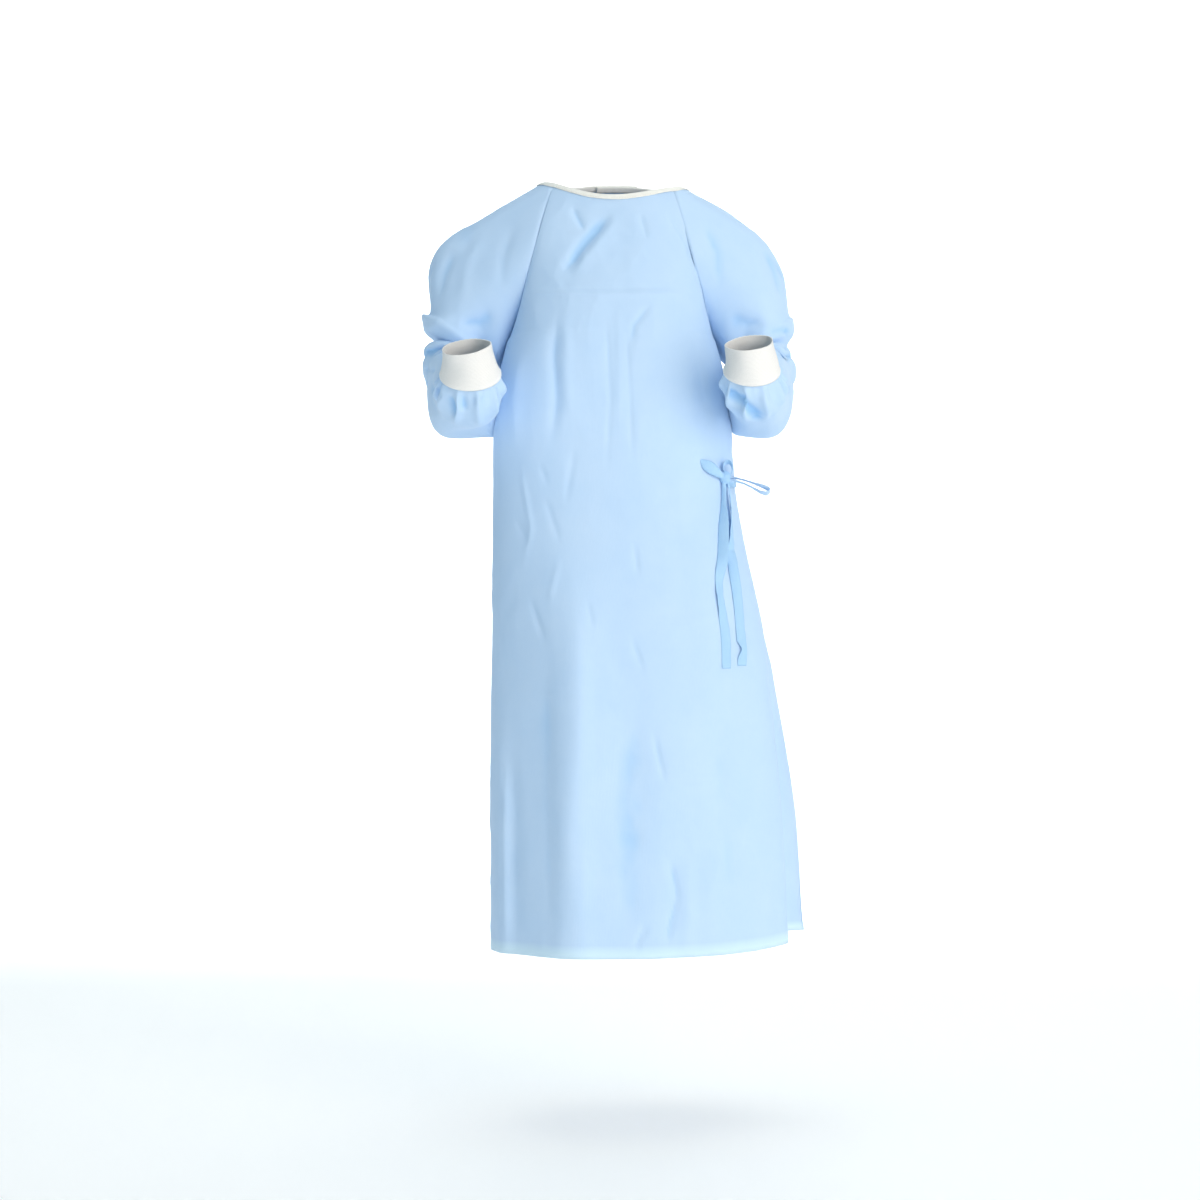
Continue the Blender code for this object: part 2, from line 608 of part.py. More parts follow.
def neck_binding(strips, finish):
    """A folded strip along the neckline. Each strip gives a panel's first two rows, their normals and
    how far the binding stands off them."""
    sections = []
    for top, below, out_top, out_below, gap in strips:
        for p, q, n, m in zip(top, below, out_top, out_below):
            share = BINDING_HEIGHT / np.linalg.norm(q - p)
            low = p + (q - p) * share
            low_out = unit(n + (m - n) * share)
            up = p - unit(q - p) * BINDING_GAP
            tip = up - unit(q - p) * BINDING_LEG
            far, behind, back = gap + BINDING_LEG, CLOTH + gap, CLOTH + gap + BINDING_LEG
            sections.append((low + low_out * far, tip + n * far, tip - n * back, low - low_out * back,
                             low - low_out * behind, up - n * behind, up + n * gap, low + low_out * gap))
    mesh = bmesh.new()
    rings = [[mesh.verts.new(p) for p in section] for section in sections]
    for a, b in zip(rings, rings[1:]):
        for j in range(8):
            k = (j + 1) % 8
            mesh.faces.new((a[j], b[j], b[k], a[k]))
    for ring in (rings[0], rings[-1]):
        for corners in ((0, 1, 6, 7), (1, 2, 5, 6), (2, 3, 4, 5)):
            mesh.faces.new([ring[k] for k in corners])
    return finished("neck_binding", mesh, finish)


def tape(name, line, across, widths, finish, thick=TAPE):
    """A flat tape along a line: the line is the middle of its front face."""
    along = unit(np.gradient(line, axis=0))
    across = unit(across - along * np.sum(along * across, axis=1)[:, None])
    front = unit(np.cross(along, across))
    half = (across.T * np.asarray(widths) / 2).T
    grid = np.stack([line - half, line, line + half], axis=1)
    return wall(name, grid, np.stack([front] * 3, axis=1), thick, finish)


def smooth_rows(table, steps):
    """Rows of a table joined by a smooth curve, with this many steps between two rows."""
    table = np.array(table)
    levels = np.arange(len(table))
    slopes = np.gradient(table, axis=0)
    out = []
    for at in np.linspace(0, len(table) - 1, (len(table) - 1) * steps + 1):
        i = min(int(at), len(table) - 2)
        t = at - levels[i]
        out.append(table[i] * (2 * t**3 - 3 * t**2 + 1) + table[i + 1] * (3 * t**2 - 2 * t**3)
                   + slopes[i] * (t**3 - 2 * t**2 + t) + slopes[i + 1] * (t**3 - t**2))
    return np.array(out)


def lap_lift(shares, edge):
    """How far out a tape lies that starts on the wrapped panel and steps down past its free edge."""
    return SEAM_GAP + TAPE_GAP + TAPE + (LAP_GAP + CLOTH) * (1 - ease(edge + 0.005, edge + 0.045, shares))


def back_strip(back, back_out, rows, shares, edge):
    """Points and normals over the back, at these rows and shares, clear of the wrapped edge."""
    points, normals = [], []
    for row in rows:
        low = int(row)
        mix = row - low
        line, out = (grid[low] * (1 - mix) + grid[low + 1] * mix for grid in (back, back_out))
        at = np.stack([np.interp(shares, FINE, line[:, k]) for k in range(3)], axis=1)
        away = unit(np.stack([np.interp(shares, FINE, out[:, k]) for k in range(3)], axis=1))
        points.append(at + away * lap_lift(shares, edge)[:, None])
        normals.append(away)
    return np.array(points), np.array(normals)


def level_row(drop):
    """The row, as a number with a fraction, at this drop below the underarm."""
    return YOKE_ROWS + (drop - UNDERARM) / (HEM - UNDERARM) * SKIRT_ROWS


def on_front(panel, across, up):
    """The place and the outward direction of a panel here, seen from the front."""
    place, normal = panel.ray_cast(Vector((across, -1, up)), Vector((0, 1, 0)))[:2]
    return np.array(place), np.array(normal) * (1 if normal.y < 0 else -1)


def tie_pieces(panel, finish):
    """The knot, its bows, the short front tape and the hanging ends; returns the knot's middle."""
    half = np.array(KNOT_HALF)
    seat, out = on_front(panel, *KNOT_SEAT)
    middle = seat + out * (np.linalg.norm(half * out) * KNOT_PRESS + SEAM_GAP)
    mesh = bmesh.new()
    bmesh.ops.create_uvsphere(mesh, u_segments=16, v_segments=10, radius=1)
    for vert in mesh.verts:
        pinch = 1 - KNOT_PINCH * math.exp(-(vert.co.z / 0.28) ** 2)
        vert.co = Vector(middle + half * np.array([vert.co.x * pinch, vert.co.y * pinch, vert.co.z]))
    finished("tie_knot", mesh, finish)
    for name, table in BOWS.items():
        line = smooth_rows(table, 3) + middle
        across = np.tile([0.0, -math.cos(BOW_TILT), math.sin(BOW_TILT)], (len(line), 1))
        tape(name, line, across, np.full(len(line), BOW_WIDTH), finish)
    points, normals = [], []
    for x, z, width in smooth_rows(FRONT_TAPE, 2):
        spots = [on_front(panel, x, z + width * off) for off in (-0.5, 0, 0.5)]
        points.append([place + out * (TAPE + TAPE_GAP) for place, out in spots])
        normals.append([out for _, out in spots])
    wall("tie_front", np.array(points), unit(np.array(normals)), TAPE, finish)
    for name, table in TIE_ENDS.items():
        line, across, widths = [], [], []
        for x, z, width, turn, stand_off in smooth_rows(table, 3):
            place, out = on_front(panel, x, z)
            level = unit(np.cross(out, [0.0, 0.0, 1.0])) * -1
            turn = math.radians(turn)
            lift = width / 2 * abs(math.sin(turn)) + TAPE + TAPE_GAP + stand_off
            line.append(place + out * lift)
            across.append(level * math.cos(turn) + out * math.sin(turn))
            widths.append(width)
        tape(name, np.array(line), np.array(across), widths, finish)
    return middle


def build():
    for old in list(bpy.data.objects):
        bpy.data.objects.remove(old)
    cloth = material("nonwoven", (0.42, 0.66, 0.88), 0.75)
    knit = material("knit", (0.86, 0.86, 0.84), 0.9)
    trim = material("binding", (0.88, 0.87, 0.76), 0.8)
    tie = material("tape", (0.36, 0.60, 0.84), 0.75)

    front = face_grid("front")
    back = face_grid("back")
    sleeves = {side: sleeve_grid(side) for side in ("right", "left")}
    front_out = normals_of(front, 1)
    back_out = normals_of(back, -1)
    sleeve_out = {side: ring_normals(grid, 1 if side == "left" else -1) for side, grid in sleeves.items()}
    # two panels that meet at a seam share its normals, so that their edges stand face to face
    for edge in (0, -1):
        shared = unit(front_out[YOKE_ROWS:, edge] + back_out[YOKE_ROWS:, edge])
        front_out[YOKE_ROWS:, edge] = shared
        back_out[YOKE_ROWS:, edge] = shared
    for side, out in sleeve_out.items():
        edge = -1 if side == "left" else 0
        for k in range(YOKE_ROWS):
            j = YOKE_ROWS - k
            shared = unit(out[0, j] + front_out[k, edge])
            out[0, j] = shared
            front_out[k, edge] = shared
            j = YOKE_ROWS + NECK_STEPS + k
            shared = unit(out[0, j] + back_out[k, edge])
            out[0, j] = shared
            back_out[k, edge] = shared
        shared = unit(out[0, 0] + front_out[YOKE_ROWS, edge] * 2)
        out[0, 0] = shared
        front_out[YOKE_ROWS, edge] = shared
        back_out[YOKE_ROWS, edge] = shared
        # next to the underarm the seams turn quickly, so the normals there are evened out
        for panel_out, j in ((front_out, 1), (back_out, -1)):
            even = unit(panel_out[YOKE_ROWS - 1, edge] + shared)
            panel_out[YOKE_ROWS - 1, edge] = even
            out[0, j] = even
            above = unit(panel_out[YOKE_ROWS - 2, edge] * 2 + even)
            panel_out[YOKE_ROWS - 2, edge] = above
            out[0, 2 * j] = above

    lines = [np.linspace(0, 1, FRONT_COLUMNS + 1)] * len(LEVELS)
    front_points, front_normals = sampled(front, lines), unit(sampled(front_out, lines))
    front_points = seam_shift(front_points, front_normals, "first_column")
    front_points = seam_shift(front_points, front_normals, "last_column")
    panel = wall("front_panel", front_points, front_normals, CLOTH, cloth)

    drops = -back[:, :, 2].mean(axis=1)
    under = np.array([follow(d, BACK_EDGES, EDGE_COLUMNS, "under_edge") for d in drops])
    wrap = np.array([follow(d, BACK_EDGES, EDGE_COLUMNS, "wrap_edge") for d in drops])
    # right seam to under edge, under edge to wrapped edge, wrapped edge to left seam
    alone, lapped, rest = BACK_COLUMNS
    laps = [np.linspace(u, w, lapped + 1) for u, w in zip(under, wrap)]
    lines = [np.append(np.linspace(1, w, rest + 1)[:-1], lap[::-1]) for w, lap in zip(wrap, laps)]
    under_points, under_normals = sampled(back, lines), unit(sampled(back_out, lines))
    under_points = seam_shift(under_points, under_normals, "first_column")
    wall("back_panel_left", under_points, under_normals, CLOTH, cloth)
    lines = [np.append(np.linspace(0, u, alone + 1)[:-1], lap) for u, lap in zip(under, laps)]
    wrap_points, wrap_normals = sampled(back, lines), unit(sampled(back_out, lines))
    wrap_points = seam_shift(wrap_points, wrap_normals, "first_column")
    lap = [(LAP_GAP + CLOTH) * ease(u - LAP_EASE, u - 0.02, line) for u, line in zip(under, np.array(lines))]
    wrap_points = wrap_points + wrap_normals * np.array(lap)[:, :, None]
    wall("back_panel_right", wrap_points, wrap_normals, CLOTH, cloth)

    for side, grid in sleeves.items():
        # the sleeve's last ring faces straight out, square to the cuff seam
        out = sleeve_out[side]
        along = ring_frame(CUFF_PITCH)[0]
        out[-1] = unit(out[-1] - along * (out[-1] @ along)[:, None])
        moved = seam_shift(seam_shift(grid, out, "first_row", closed=True), out, "last_row", closed=True)
        sleeves[side] = moved
        wall("sleeve_" + side, moved, out, CLOTH, cloth, closed=True)
        wall("cuff_" + side, *cuff_grid(side), KNIT, knit, closed=True)

    def edge_strip(points, out, columns):
        return points[0][columns], points[1][columns], out[0][columns], out[1][columns], BINDING_GAP

    def corner_strip(side, ring_column, points):
        """Where a raglan seam meets the neckline, the binding hangs between the two panels."""
        grid = sleeves[side]
        top = grid[0][ring_column]
        fall = unit(unit(grid[1][ring_column] - top) + unit(points[1] - points[0]))
        out = sleeve_out[side][0][ring_column]
        return top[None], (top + fall * BINDING_HEIGHT * 2)[None], out[None], out[None], BINDING_CORNER_GAP

    neck_front, neck_back = YOKE_ROWS, YOKE_ROWS + NECK_STEPS
    between = np.arange(neck_front + 1, neck_back)
    strips = [
        edge_strip(wrap_points, wrap_normals, slice(None, 0, -1)),
        corner_strip("right", neck_back, wrap_points[:, 0]),
        edge_strip(sleeves["right"], sleeve_out["right"], between[::-1]),
        corner_strip("right", neck_front, front_points[:, 0]),
        edge_strip(front_points, front_normals, slice(1, -1)),
        corner_strip("left", neck_front, front_points[:, -1]),
        edge_strip(sleeves["left"], sleeve_out["left"], between),
        corner_strip("left", neck_back, under_points[:, 0]),
        edge_strip(under_points, under_normals, slice(1, None)),
    ]
    neck_binding(strips, trim)

    faces = [face.vertices for face in panel.data.polygons]
    knot = tie_pieces(BVHTree.FromPolygons([v.co for v in panel.data.vertices], faces), tie)

    # the belt comes from the wrapped edge, round the side seam and over the front to the knot
    rows = [level_row(BELT_DROP + off) for off in (-TAPE_WIDTH / 2, 0, TAPE_WIDTH / 2)]
    edge = follow(BELT_DROP, BACK_EDGES, EDGE_COLUMNS, "wrap_edge")
    shares = np.linspace(BELT_START, 1, BELT_STEPS + 1)
    points, out = back_strip(back, back_out, rows, shares, edge)
    more, more_out = back_strip(front, front_out, rows, FINE[:80:-1], -1)
    away = np.linalg.norm((more - knot) / np.array(KNOT_HALF), axis=2).min(axis=0)
    reach = FINE[:80:-1][np.argmax(away < KNOT_CLEAR) - 1]
    more, more_out = back_strip(front, front_out, rows, np.linspace(1, reach, BELT_STEPS + 1)[1:], -1)
    belt = np.concatenate([points, more], axis=1)
    wall("belt_side", belt, np.concatenate([out, more_out], axis=1), TAPE, tie)

    edge = follow(-NECK_BACK_RISE, BACK_EDGES, EDGE_COLUMNS, "wrap_edge")
    points, out = back_strip(back, back_out, TAB_ROWS, np.linspace(*TAB_SHARES, TAB_STEPS + 1), edge)
    wall("neck_tab", points, out, TAPE, cloth)


build()
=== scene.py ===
import math

import bmesh
import bpy
import numpy as np
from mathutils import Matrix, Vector, noise
from mathutils.bvhtree import BVHTree


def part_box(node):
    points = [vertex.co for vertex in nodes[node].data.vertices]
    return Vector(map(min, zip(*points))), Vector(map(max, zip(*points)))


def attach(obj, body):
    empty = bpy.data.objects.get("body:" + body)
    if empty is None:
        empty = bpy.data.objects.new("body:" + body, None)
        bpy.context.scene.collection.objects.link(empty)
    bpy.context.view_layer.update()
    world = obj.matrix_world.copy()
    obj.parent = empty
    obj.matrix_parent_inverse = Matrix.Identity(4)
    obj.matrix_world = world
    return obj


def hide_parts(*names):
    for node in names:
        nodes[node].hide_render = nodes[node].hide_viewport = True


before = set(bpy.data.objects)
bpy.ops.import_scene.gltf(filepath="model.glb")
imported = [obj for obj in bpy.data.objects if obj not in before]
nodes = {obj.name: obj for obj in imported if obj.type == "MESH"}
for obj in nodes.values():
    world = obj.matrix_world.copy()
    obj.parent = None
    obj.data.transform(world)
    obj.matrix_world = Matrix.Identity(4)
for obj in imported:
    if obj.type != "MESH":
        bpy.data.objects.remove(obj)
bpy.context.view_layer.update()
bpy.ops.object.select_all(action="DESELECT")


# grids of points

def unitOf(v):
    return v / np.maximum(np.linalg.norm(v, axis=-1, keepdims=True), 1e-12)


def ease(low, high, at):
    t = np.clip((at - low) / (high - low), 0, 1)
    return t * t * (3 - 2 * t)


# the solids' walls, which tell a rim face from an outer one, and how exactly a rim edge has that length
solidWall = {"cloth": 0.0015, "knit": 0.0020, "tape": 0.0012}
rimMatch = 1e-6
same = 2e-6


def outerFace(name, centre, thickness):
    # a merged copy of the node without its rim, cut down to the face that looks away from centre
    bm = bmesh.new()
    bm.from_mesh(nodes[name].data)
    bmesh.ops.remove_doubles(bm, verts=bm.verts, dist=same)
    rim = [f for f in bm.faces if any(abs(e.calc_length() - thickness) < rimMatch for e in f.edges)]
    bmesh.ops.delete(bm, geom=rim, context="FACES")
    bm.normal_update()
    seen, best, most = set(), None, -1e9
    for start in bm.faces:
        if start in seen:
            continue
        group, todo, score = [], [start], 0.0
        seen.add(start)
        while todo:
            face = todo.pop()
            group.append(face)
            spot = face.calc_center_median()
            score += face.calc_area() * face.normal.dot((spot - Vector(centre(spot))).normalized())
            for other in {f for e in face.edges for f in e.link_faces} - seen:
                seen.add(other)
                todo.append(other)
        if score > most:
            best, most = group, score
    keep = set(best)
    bmesh.ops.delete(bm, geom=[f for f in bm.faces if f not in keep], context="FACES")
    return bm


def rowsOf(bm, corner, toward, closed):
    # the face's points row by row, from the edge that runs from one corner toward the next
    rim = [v for v in bm.verts if v.is_boundary]
    first = min(rim, key=lambda v: (v.co - Vector(corner)).length)
    step = [e.other_vert(first) for e in first.link_edges if e.is_boundary]
    line = [first, min(step, key=lambda v: (v.co - Vector(toward)).length)]
    end = None if closed else min(rim, key=lambda v: (v.co - Vector(toward)).length)
    while line[-1] is not end:
        more = [e.other_vert(line[-1]) for e in line[-1].link_edges if e.is_boundary]
        more = [v for v in more if v is not line[-2]]
        if closed and (not more or more[0] is first):
            break
        line.append(more[0])
    level = {v: 0 for v in line}
    rows, last = [line], line
    while True:
        reach = {e.other_vert(v) for v in last for e in v.link_edges} - set(level)
        if not reach:
            break
        for v in reach:
            level[v] = len(rows)
        beside = {v: [e.other_vert(v) for e in v.link_edges if e.other_vert(v) in reach] for v in reach}
        if closed:
            start = min(reach, key=lambda v: (v.co - last[0].co).length)
        else:
            onward = [e.other_vert(last[0]) for e in last[0].link_edges if e.is_boundary]
            start = [v for v in onward if v in reach][0]
        line = [start, beside[start][0]]
        while len(line) < len(reach):
            line.append([v for v in beside[line[-1]] if v is not line[-2]][0])
        rows.append(line)
        last = line
    grid = np.array([[v.co[:] for v in row] for row in rows])
    if closed:
        for i in range(1, len(grid)):
            ways = [np.roll(g, k, axis=0) for g in (grid[i], grid[i][::-1]) for k in range(grid.shape[1])]
            grid[i] = min(ways, key=lambda g: ((g - grid[i - 1]) ** 2).sum())
    bm.free()
    return grid


def finer(grid, times, axis, closed=False):
    # a smooth curve through the points along one axis, with this many steps between two of them
    grid = np.moveaxis(grid, axis, 0)
    n = len(grid)
    if closed:
        slope = (np.roll(grid, -1, 0) - np.roll(grid, 1, 0)) / 2
        at = np.arange(n * times) / times
    else:
        slope = np.gradient(grid, axis=0)
        at = np.arange((n - 1) * times + 1) / times
    i = np.minimum(at.astype(int), n - 1 if closed else n - 2)
    k = (i + 1) % n
    t = (at - i).reshape((-1,) + (1,) * (grid.ndim - 1))
    out = (grid[i] * (2 * t**3 - 3 * t**2 + 1) + grid[k] * (3 * t**2 - 2 * t**3)
           + slope[i] * (t**3 - 2 * t**2 + t) + slope[k] * (t**3 - t**2))
    return np.moveaxis(out, 0, axis)


def outward(grid, closed):
    # the way out of the cloth at every point
    down = np.gradient(grid, axis=0)
    across = (np.roll(grid, -1, 1) - np.roll(grid, 1, 1)) if closed else np.gradient(grid, axis=1)
    n = unitOf(np.cross(down, across))
    if closed:
        away = grid - grid.mean(axis=1, keepdims=True)
    else:
        away = (grid - grid.mean(axis=(0, 1)) * [1, 1, 0]) * [1, 1, 0]
    return n if (n * away).sum() > 0 else -n


# creases: seen from one side, along a line, with a width and a height

sideOf = {
    # the two axes of the view, and the way from the cloth to the eye
    "front": (0, 2, (0, -1, 0)), "back": (0, 2, (0, 1, 0)),
    "left": (1, 2, (1, 0, 0)), "right": (1, 2, (-1, 0, 0)), "top": (0, 1, (0, 0, 1)),
}


def crease(points, normals, side, line, width, height, sharp, ends=0.3):
    # a ridge, or a trough where height is below nought, that dies away at both ends
    a, b, look = sideOf[side]
    flat = np.stack([points[..., a], points[..., b]], axis=-1)
    runs = np.linalg.norm(np.diff(line, axis=0), axis=1)
    total = runs.sum()
    near = np.full(flat.shape[:-1], 1e9)
    along = np.zeros(flat.shape[:-1])
    for k, run in enumerate(runs):
        d = line[k + 1] - line[k]
        t = np.clip(((flat - line[k]) @ d) / run**2, 0, 1)
        off = np.linalg.norm(flat - line[k] - t[..., None] * d, axis=-1)
        hit = off < near
        near = np.where(hit, off, near)
        along = np.where(hit, (runs[:k].sum() + t * run) / total, along)
    fade = ease(-0.02, ends, along) * ease(-0.02, ends, 1 - along)
    shape = (1 - sharp) * np.exp(-(near / width) ** 2) + sharp * np.exp(-1.7 * near / width)
    facing = ease(0.02, 0.4, normals @ np.array(look, float))
    return height * shape * fade * facing


def swell(points, size, seed, stretch=(1, 1, 1)):
    # slow soft waves
    flat = (points * stretch / size + seed).reshape(-1, 3)
    return np.array([noise.noise(Vector(p)) for p in flat]).reshape(points.shape[:-1])


def crumple(points, size, seed, stretch=(1, 1, 1)):
    # the small uneven dents of a thin stiff cloth
    return 1 - np.abs(swell(points, size, seed, stretch)) * 2.2


# meshes

def sheetMesh(name, grid, closed, band=None, fold=None):
    # one layer of cloth with its UV map in metres along the cloth
    rows, columns = grid.shape[:2]
    last = columns if closed else columns - 1
    mesh = bpy.data.meshes.new(name)
    index = np.arange(rows * columns).reshape(rows, columns)
    quads, corners = [], []
    wide = np.linalg.norm(np.diff(grid, axis=1), axis=2)
    if closed:
        wide = np.concatenate([wide, np.linalg.norm(grid[:, :1] - grid[:, -1:], axis=2)], axis=1)
    u = np.concatenate([[0], np.cumsum(wide.mean(axis=0))])
    v = np.concatenate([[0], np.cumsum(np.linalg.norm(np.diff(grid, axis=0), axis=2).mean(axis=1))])
    for i in range(rows - 1):
        for j in range(last):
            k = (j + 1) % columns
            quads.append((index[i, j], index[i, k], index[i + 1, k], index[i + 1, j]))
            corners += [(u[j], v[i]), (u[j + 1], v[i]), (u[j + 1], v[i + 1]), (u[j], v[i + 1])]
    mesh.from_pydata(grid.reshape(-1, 3).tolist(), [], quads)
    layer = mesh.uv_layers.new(name="cloth")
    layer.data.foreach_set("uv", np.array(corners, np.float32).ravel())
    # the hem band and the painted shade of the creases go on as point attributes
    for label, values in (("band", band), ("fold", fold)):
        if values is not None:
            mark = mesh.attributes.new(label, "FLOAT", "POINT")
            mark.data.foreach_set("value", values.astype(np.float32).ravel())
    mesh.update()
    piece = bpy.data.objects.new(name, mesh)
    bpy.context.scene.collection.objects.link(piece)
    return piece


def faceOut(piece, normals):
    # turns every face the way the cloth looks
    normals = normals.reshape(-1, 3)
    face = piece.data.polygons[len(piece.data.polygons) // 2]
    wanted = normals[list(face.vertices)].mean(axis=0)
    if np.dot(np.array(face.normal), wanted) < 0:
        piece.data.flip_normals()
    piece.data.shade_smooth()


made = {}


def finish(piece, node, coat):
    piece.data.materials.append(coat)
    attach(piece, "root")
    if node:
        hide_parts(node)
    made[piece.name] = piece
    print("made", piece.name, len(piece.data.polygons), "faces")


def clothPiece(name, grid, normals, wall, node, coat, slot, closed=False, **marks):
    # a thin shell on a grid of points, thickened inward
    piece = sheetMesh(name, grid, closed, **marks)
    faceOut(piece, normals)
    shell = piece.modifiers.new("wall", "SOLIDIFY")
    shell.thickness = wall
    shell.offset = -1
    finish(piece, node, coat)


# finishes

def newGroup(name, inputs, outputs):
    group = bpy.data.node_groups.new(name, "ShaderNodeTree")
    for label, kind, value in inputs:
        socket = group.interface.new_socket(label, in_out="INPUT", socket_type=kind)
        if value is not None:
            socket.default_value = value
    for label, kind in outputs:
        group.interface.new_socket(label, in_out="OUTPUT", socket_type=kind)
    return group, group.nodes.new("NodeGroupInput"), group.nodes.new("NodeGroupOutput")


def place(tree, kind, links=(), **values):
    node = tree.nodes.new(kind)
    for key, value in values.items():
        if key.startswith("in_"):
            node.inputs[int(key[3:])].default_value = value
        else:
            setattr(node, key, value)
    for socket, source in links:
        tree.links.new(source, node.inputs[socket])
    return node


def newMaterial(name, rough):
    coat = bpy.data.materials.new(name)
    coat.use_nodes = True
    shader = coat.node_tree.nodes["Principled BSDF"]
    shader.inputs["Roughness"].default_value = rough
    return coat, coat.node_tree, shader


def blend(tree, share, first, second):
    # one colour run into the other; each is a value or a socket
    mix = place(tree, "ShaderNodeMix", [(0, share)], data_type="RGBA")
    for socket, colour in zip([s for s in mix.inputs if s.type == "RGBA"], (first, second)):
        if isinstance(colour, tuple):
            socket.default_value = (*colour, 1)
        else:
            tree.links.new(colour, socket)
    return [s for s in mix.outputs if s.type == "RGBA"][0]


def bumpOn(tree, shader, height, strength, distance):
    bump = place(tree, "ShaderNodeBump", [("Height", height)])
    bump.inputs["Strength"].default_value = strength
    bump.inputs["Distance"].default_value = distance
    tree.links.new(bump.outputs[0], shader.inputs["Normal"])


def fibreGroup():
    # pressed fibre web: clouds of thin and thick fibre, fine strands and small bonded points
    group, given, result = newGroup(
        "fibreWeb",
        [("Map", "NodeSocketVector", None), ("Place", "NodeSocketVector", None),
         ("Cloud", "NodeSocketFloat", 14.0), ("Strand", "NodeSocketFloat", 420.0),
         ("Point", "NodeSocketFloat", 620.0)],
        [("Shade", "NodeSocketFloat"), ("Height", "NodeSocketFloat")])
    cloud = place(group, "ShaderNodeTexNoise",
                  [("Vector", given.outputs["Place"]), ("Scale", given.outputs["Cloud"])], in_3=4.0, in_4=0.62)
    # two lays of strands, turned against each other
    strands = []
    for turn, narrow in ((0.9, 0.18), (-0.75, 0.2)):
        turned = place(group, "ShaderNodeMapping", [("Vector", given.outputs["Map"])])
        turned.inputs["Rotation"].default_value = (0, 0, turn)
        turned.inputs["Scale"].default_value = (1.0, narrow, 1.0)
        strands.append(place(group, "ShaderNodeTexNoise",
                             [("Vector", turned.outputs[0]), ("Scale", given.outputs["Strand"])],
                             in_3=3.0, in_4=0.6))
    points = place(group, "ShaderNodeTexVoronoi",
                   [("Vector", given.outputs["Map"]), ("Scale", given.outputs["Point"])])
    points.inputs["Randomness"].default_value = 0.12
    dip = place(group, "ShaderNodeMapRange", [(0, points.outputs["Distance"])],
                in_1=0.16, in_2=0.32, in_3=-1.0, in_4=0.0)
    web = place(group, "ShaderNodeMath", [(0, strands[0].outputs[0]), (1, strands[1].outputs[0])],
                operation="ADD")
    height = place(group, "ShaderNodeMath", [(0, dip.outputs[0]), (2, web.outputs[0])],
                   operation="MULTIPLY_ADD", in_1=0.7)
    mixed = place(group, "ShaderNodeMath", [(0, web.outputs[0]), (2, cloud.outputs[0])],
                  operation="MULTIPLY_ADD", in_1=0.22)
    group.links.new(mixed.outputs[0], result.inputs["Shade"])
    group.links.new(height.outputs[0], result.inputs["Height"])
    return group


fibreWeb = fibreGroup()
# painted shade: the deeper blue that creases are darkened toward
paintedShadeBlue = (0.330, 0.600, 0.930)


def clothMaterial(name, thin, thick, rough, depth, marked=False, cloud=14.0):
    coat, tree, shader = newMaterial(name, rough)
    uv = place(tree, "ShaderNodeUVMap", uv_map="cloth")
    where = place(tree, "ShaderNodeTexCoord")
    web = place(tree, "ShaderNodeGroup", node_tree=fibreWeb)
    tree.links.new(uv.outputs[0], web.inputs["Map"])
    tree.links.new(where.outputs["Object"], web.inputs["Place"])
    web.inputs["Cloud"].default_value = cloud
    ramp = place(tree, "ShaderNodeMapRange", [(0, web.outputs["Shade"])],
                 in_1=0.42, in_2=1.05, in_3=0.0, in_4=1.0)
    colour = blend(tree, ramp.outputs[0], thin, thick)
    if marked:
        # painted shade: the cloth's colour goes toward a deeper blue where it lies in a crease; it is paler
        # where it is doubled at the hem
        fold = place(tree, "ShaderNodeAttribute", attribute_name="fold")
        hem = place(tree, "ShaderNodeAttribute", attribute_name="band")
        doubled = tuple(min(1, c * 1.12 + 0.02) for c in thin)
        colour = blend(tree, fold.outputs["Fac"], colour, paintedShadeBlue)
        colour = blend(tree, hem.outputs["Fac"], colour, doubled)
    tree.links.new(colour, shader.inputs["Base Color"])
    bumpOn(tree, shader, web.outputs["Height"], depth, 0.0002)
    shader.inputs["Sheen Weight"].default_value = 0.12
    shader.inputs["Sheen Roughness"].default_value = 0.5
    shader.inputs["Specular IOR Level"].default_value = 0.25
    return coat


blueCloth = clothMaterial("nonwovenBlue", (0.560, 0.740, 0.965), (0.510, 0.705, 0.950), 0.72, 0.5, marked=True)
blueTape = clothMaterial("tapeBlue", (0.440, 0.680, 0.940), (0.390, 0.640, 0.925), 0.7, 0.5, cloud=40.0)
creamTape = clothMaterial("bindingCream", (0.930, 0.925, 0.880), (0.890, 0.880, 0.830), 0.8, 0.6, cloud=40.0)


def knitMaterial():
    # fine loops along each rib, on top of ribs that are in the mesh
    coat, tree, shader = newMaterial("knitWhite", 0.9)
    uv = place(tree, "ShaderNodeUVMap", uv_map="cloth")
    loops = place(tree, "ShaderNodeTexWave", [("Vector", uv.outputs[0])],
                  bands_direction="Y", wave_profile="SIN")
    loops.inputs["Scale"].default_value = 190.0
    loops.inputs["Distortion"].default_value = 1.4
    loops.inputs["Detail"].default_value = 2.0
    loops.inputs["Detail Scale"].default_value = 3.0
    where = place(tree, "ShaderNodeTexCoord")
    fuzz = place(tree, "ShaderNodeTexNoise", [("Vector", where.outputs["Object"])], in_2=900.0, in_3=3.0)
    both = place(tree, "ShaderNodeMath", [(0, loops.outputs["Fac"]), (2, fuzz.outputs[0])],
                 operation="MULTIPLY_ADD", in_1=0.8)
    tone = place(tree, "ShaderNodeMapRange", [(0, both.outputs[0])], in_1=0.3, in_2=1.3, in_3=0.0, in_4=1.0)
    colour = blend(tree, tone.outputs[0], (0.82, 0.82, 0.81), (0.95, 0.95, 0.94))
    tree.links.new(colour, shader.inputs["Base Color"])
    bumpOn(tree, shader, both.outputs[0], 0.6, 0.0003)
    shader.inputs["Sheen Weight"].default_value = 0.25
    return coat


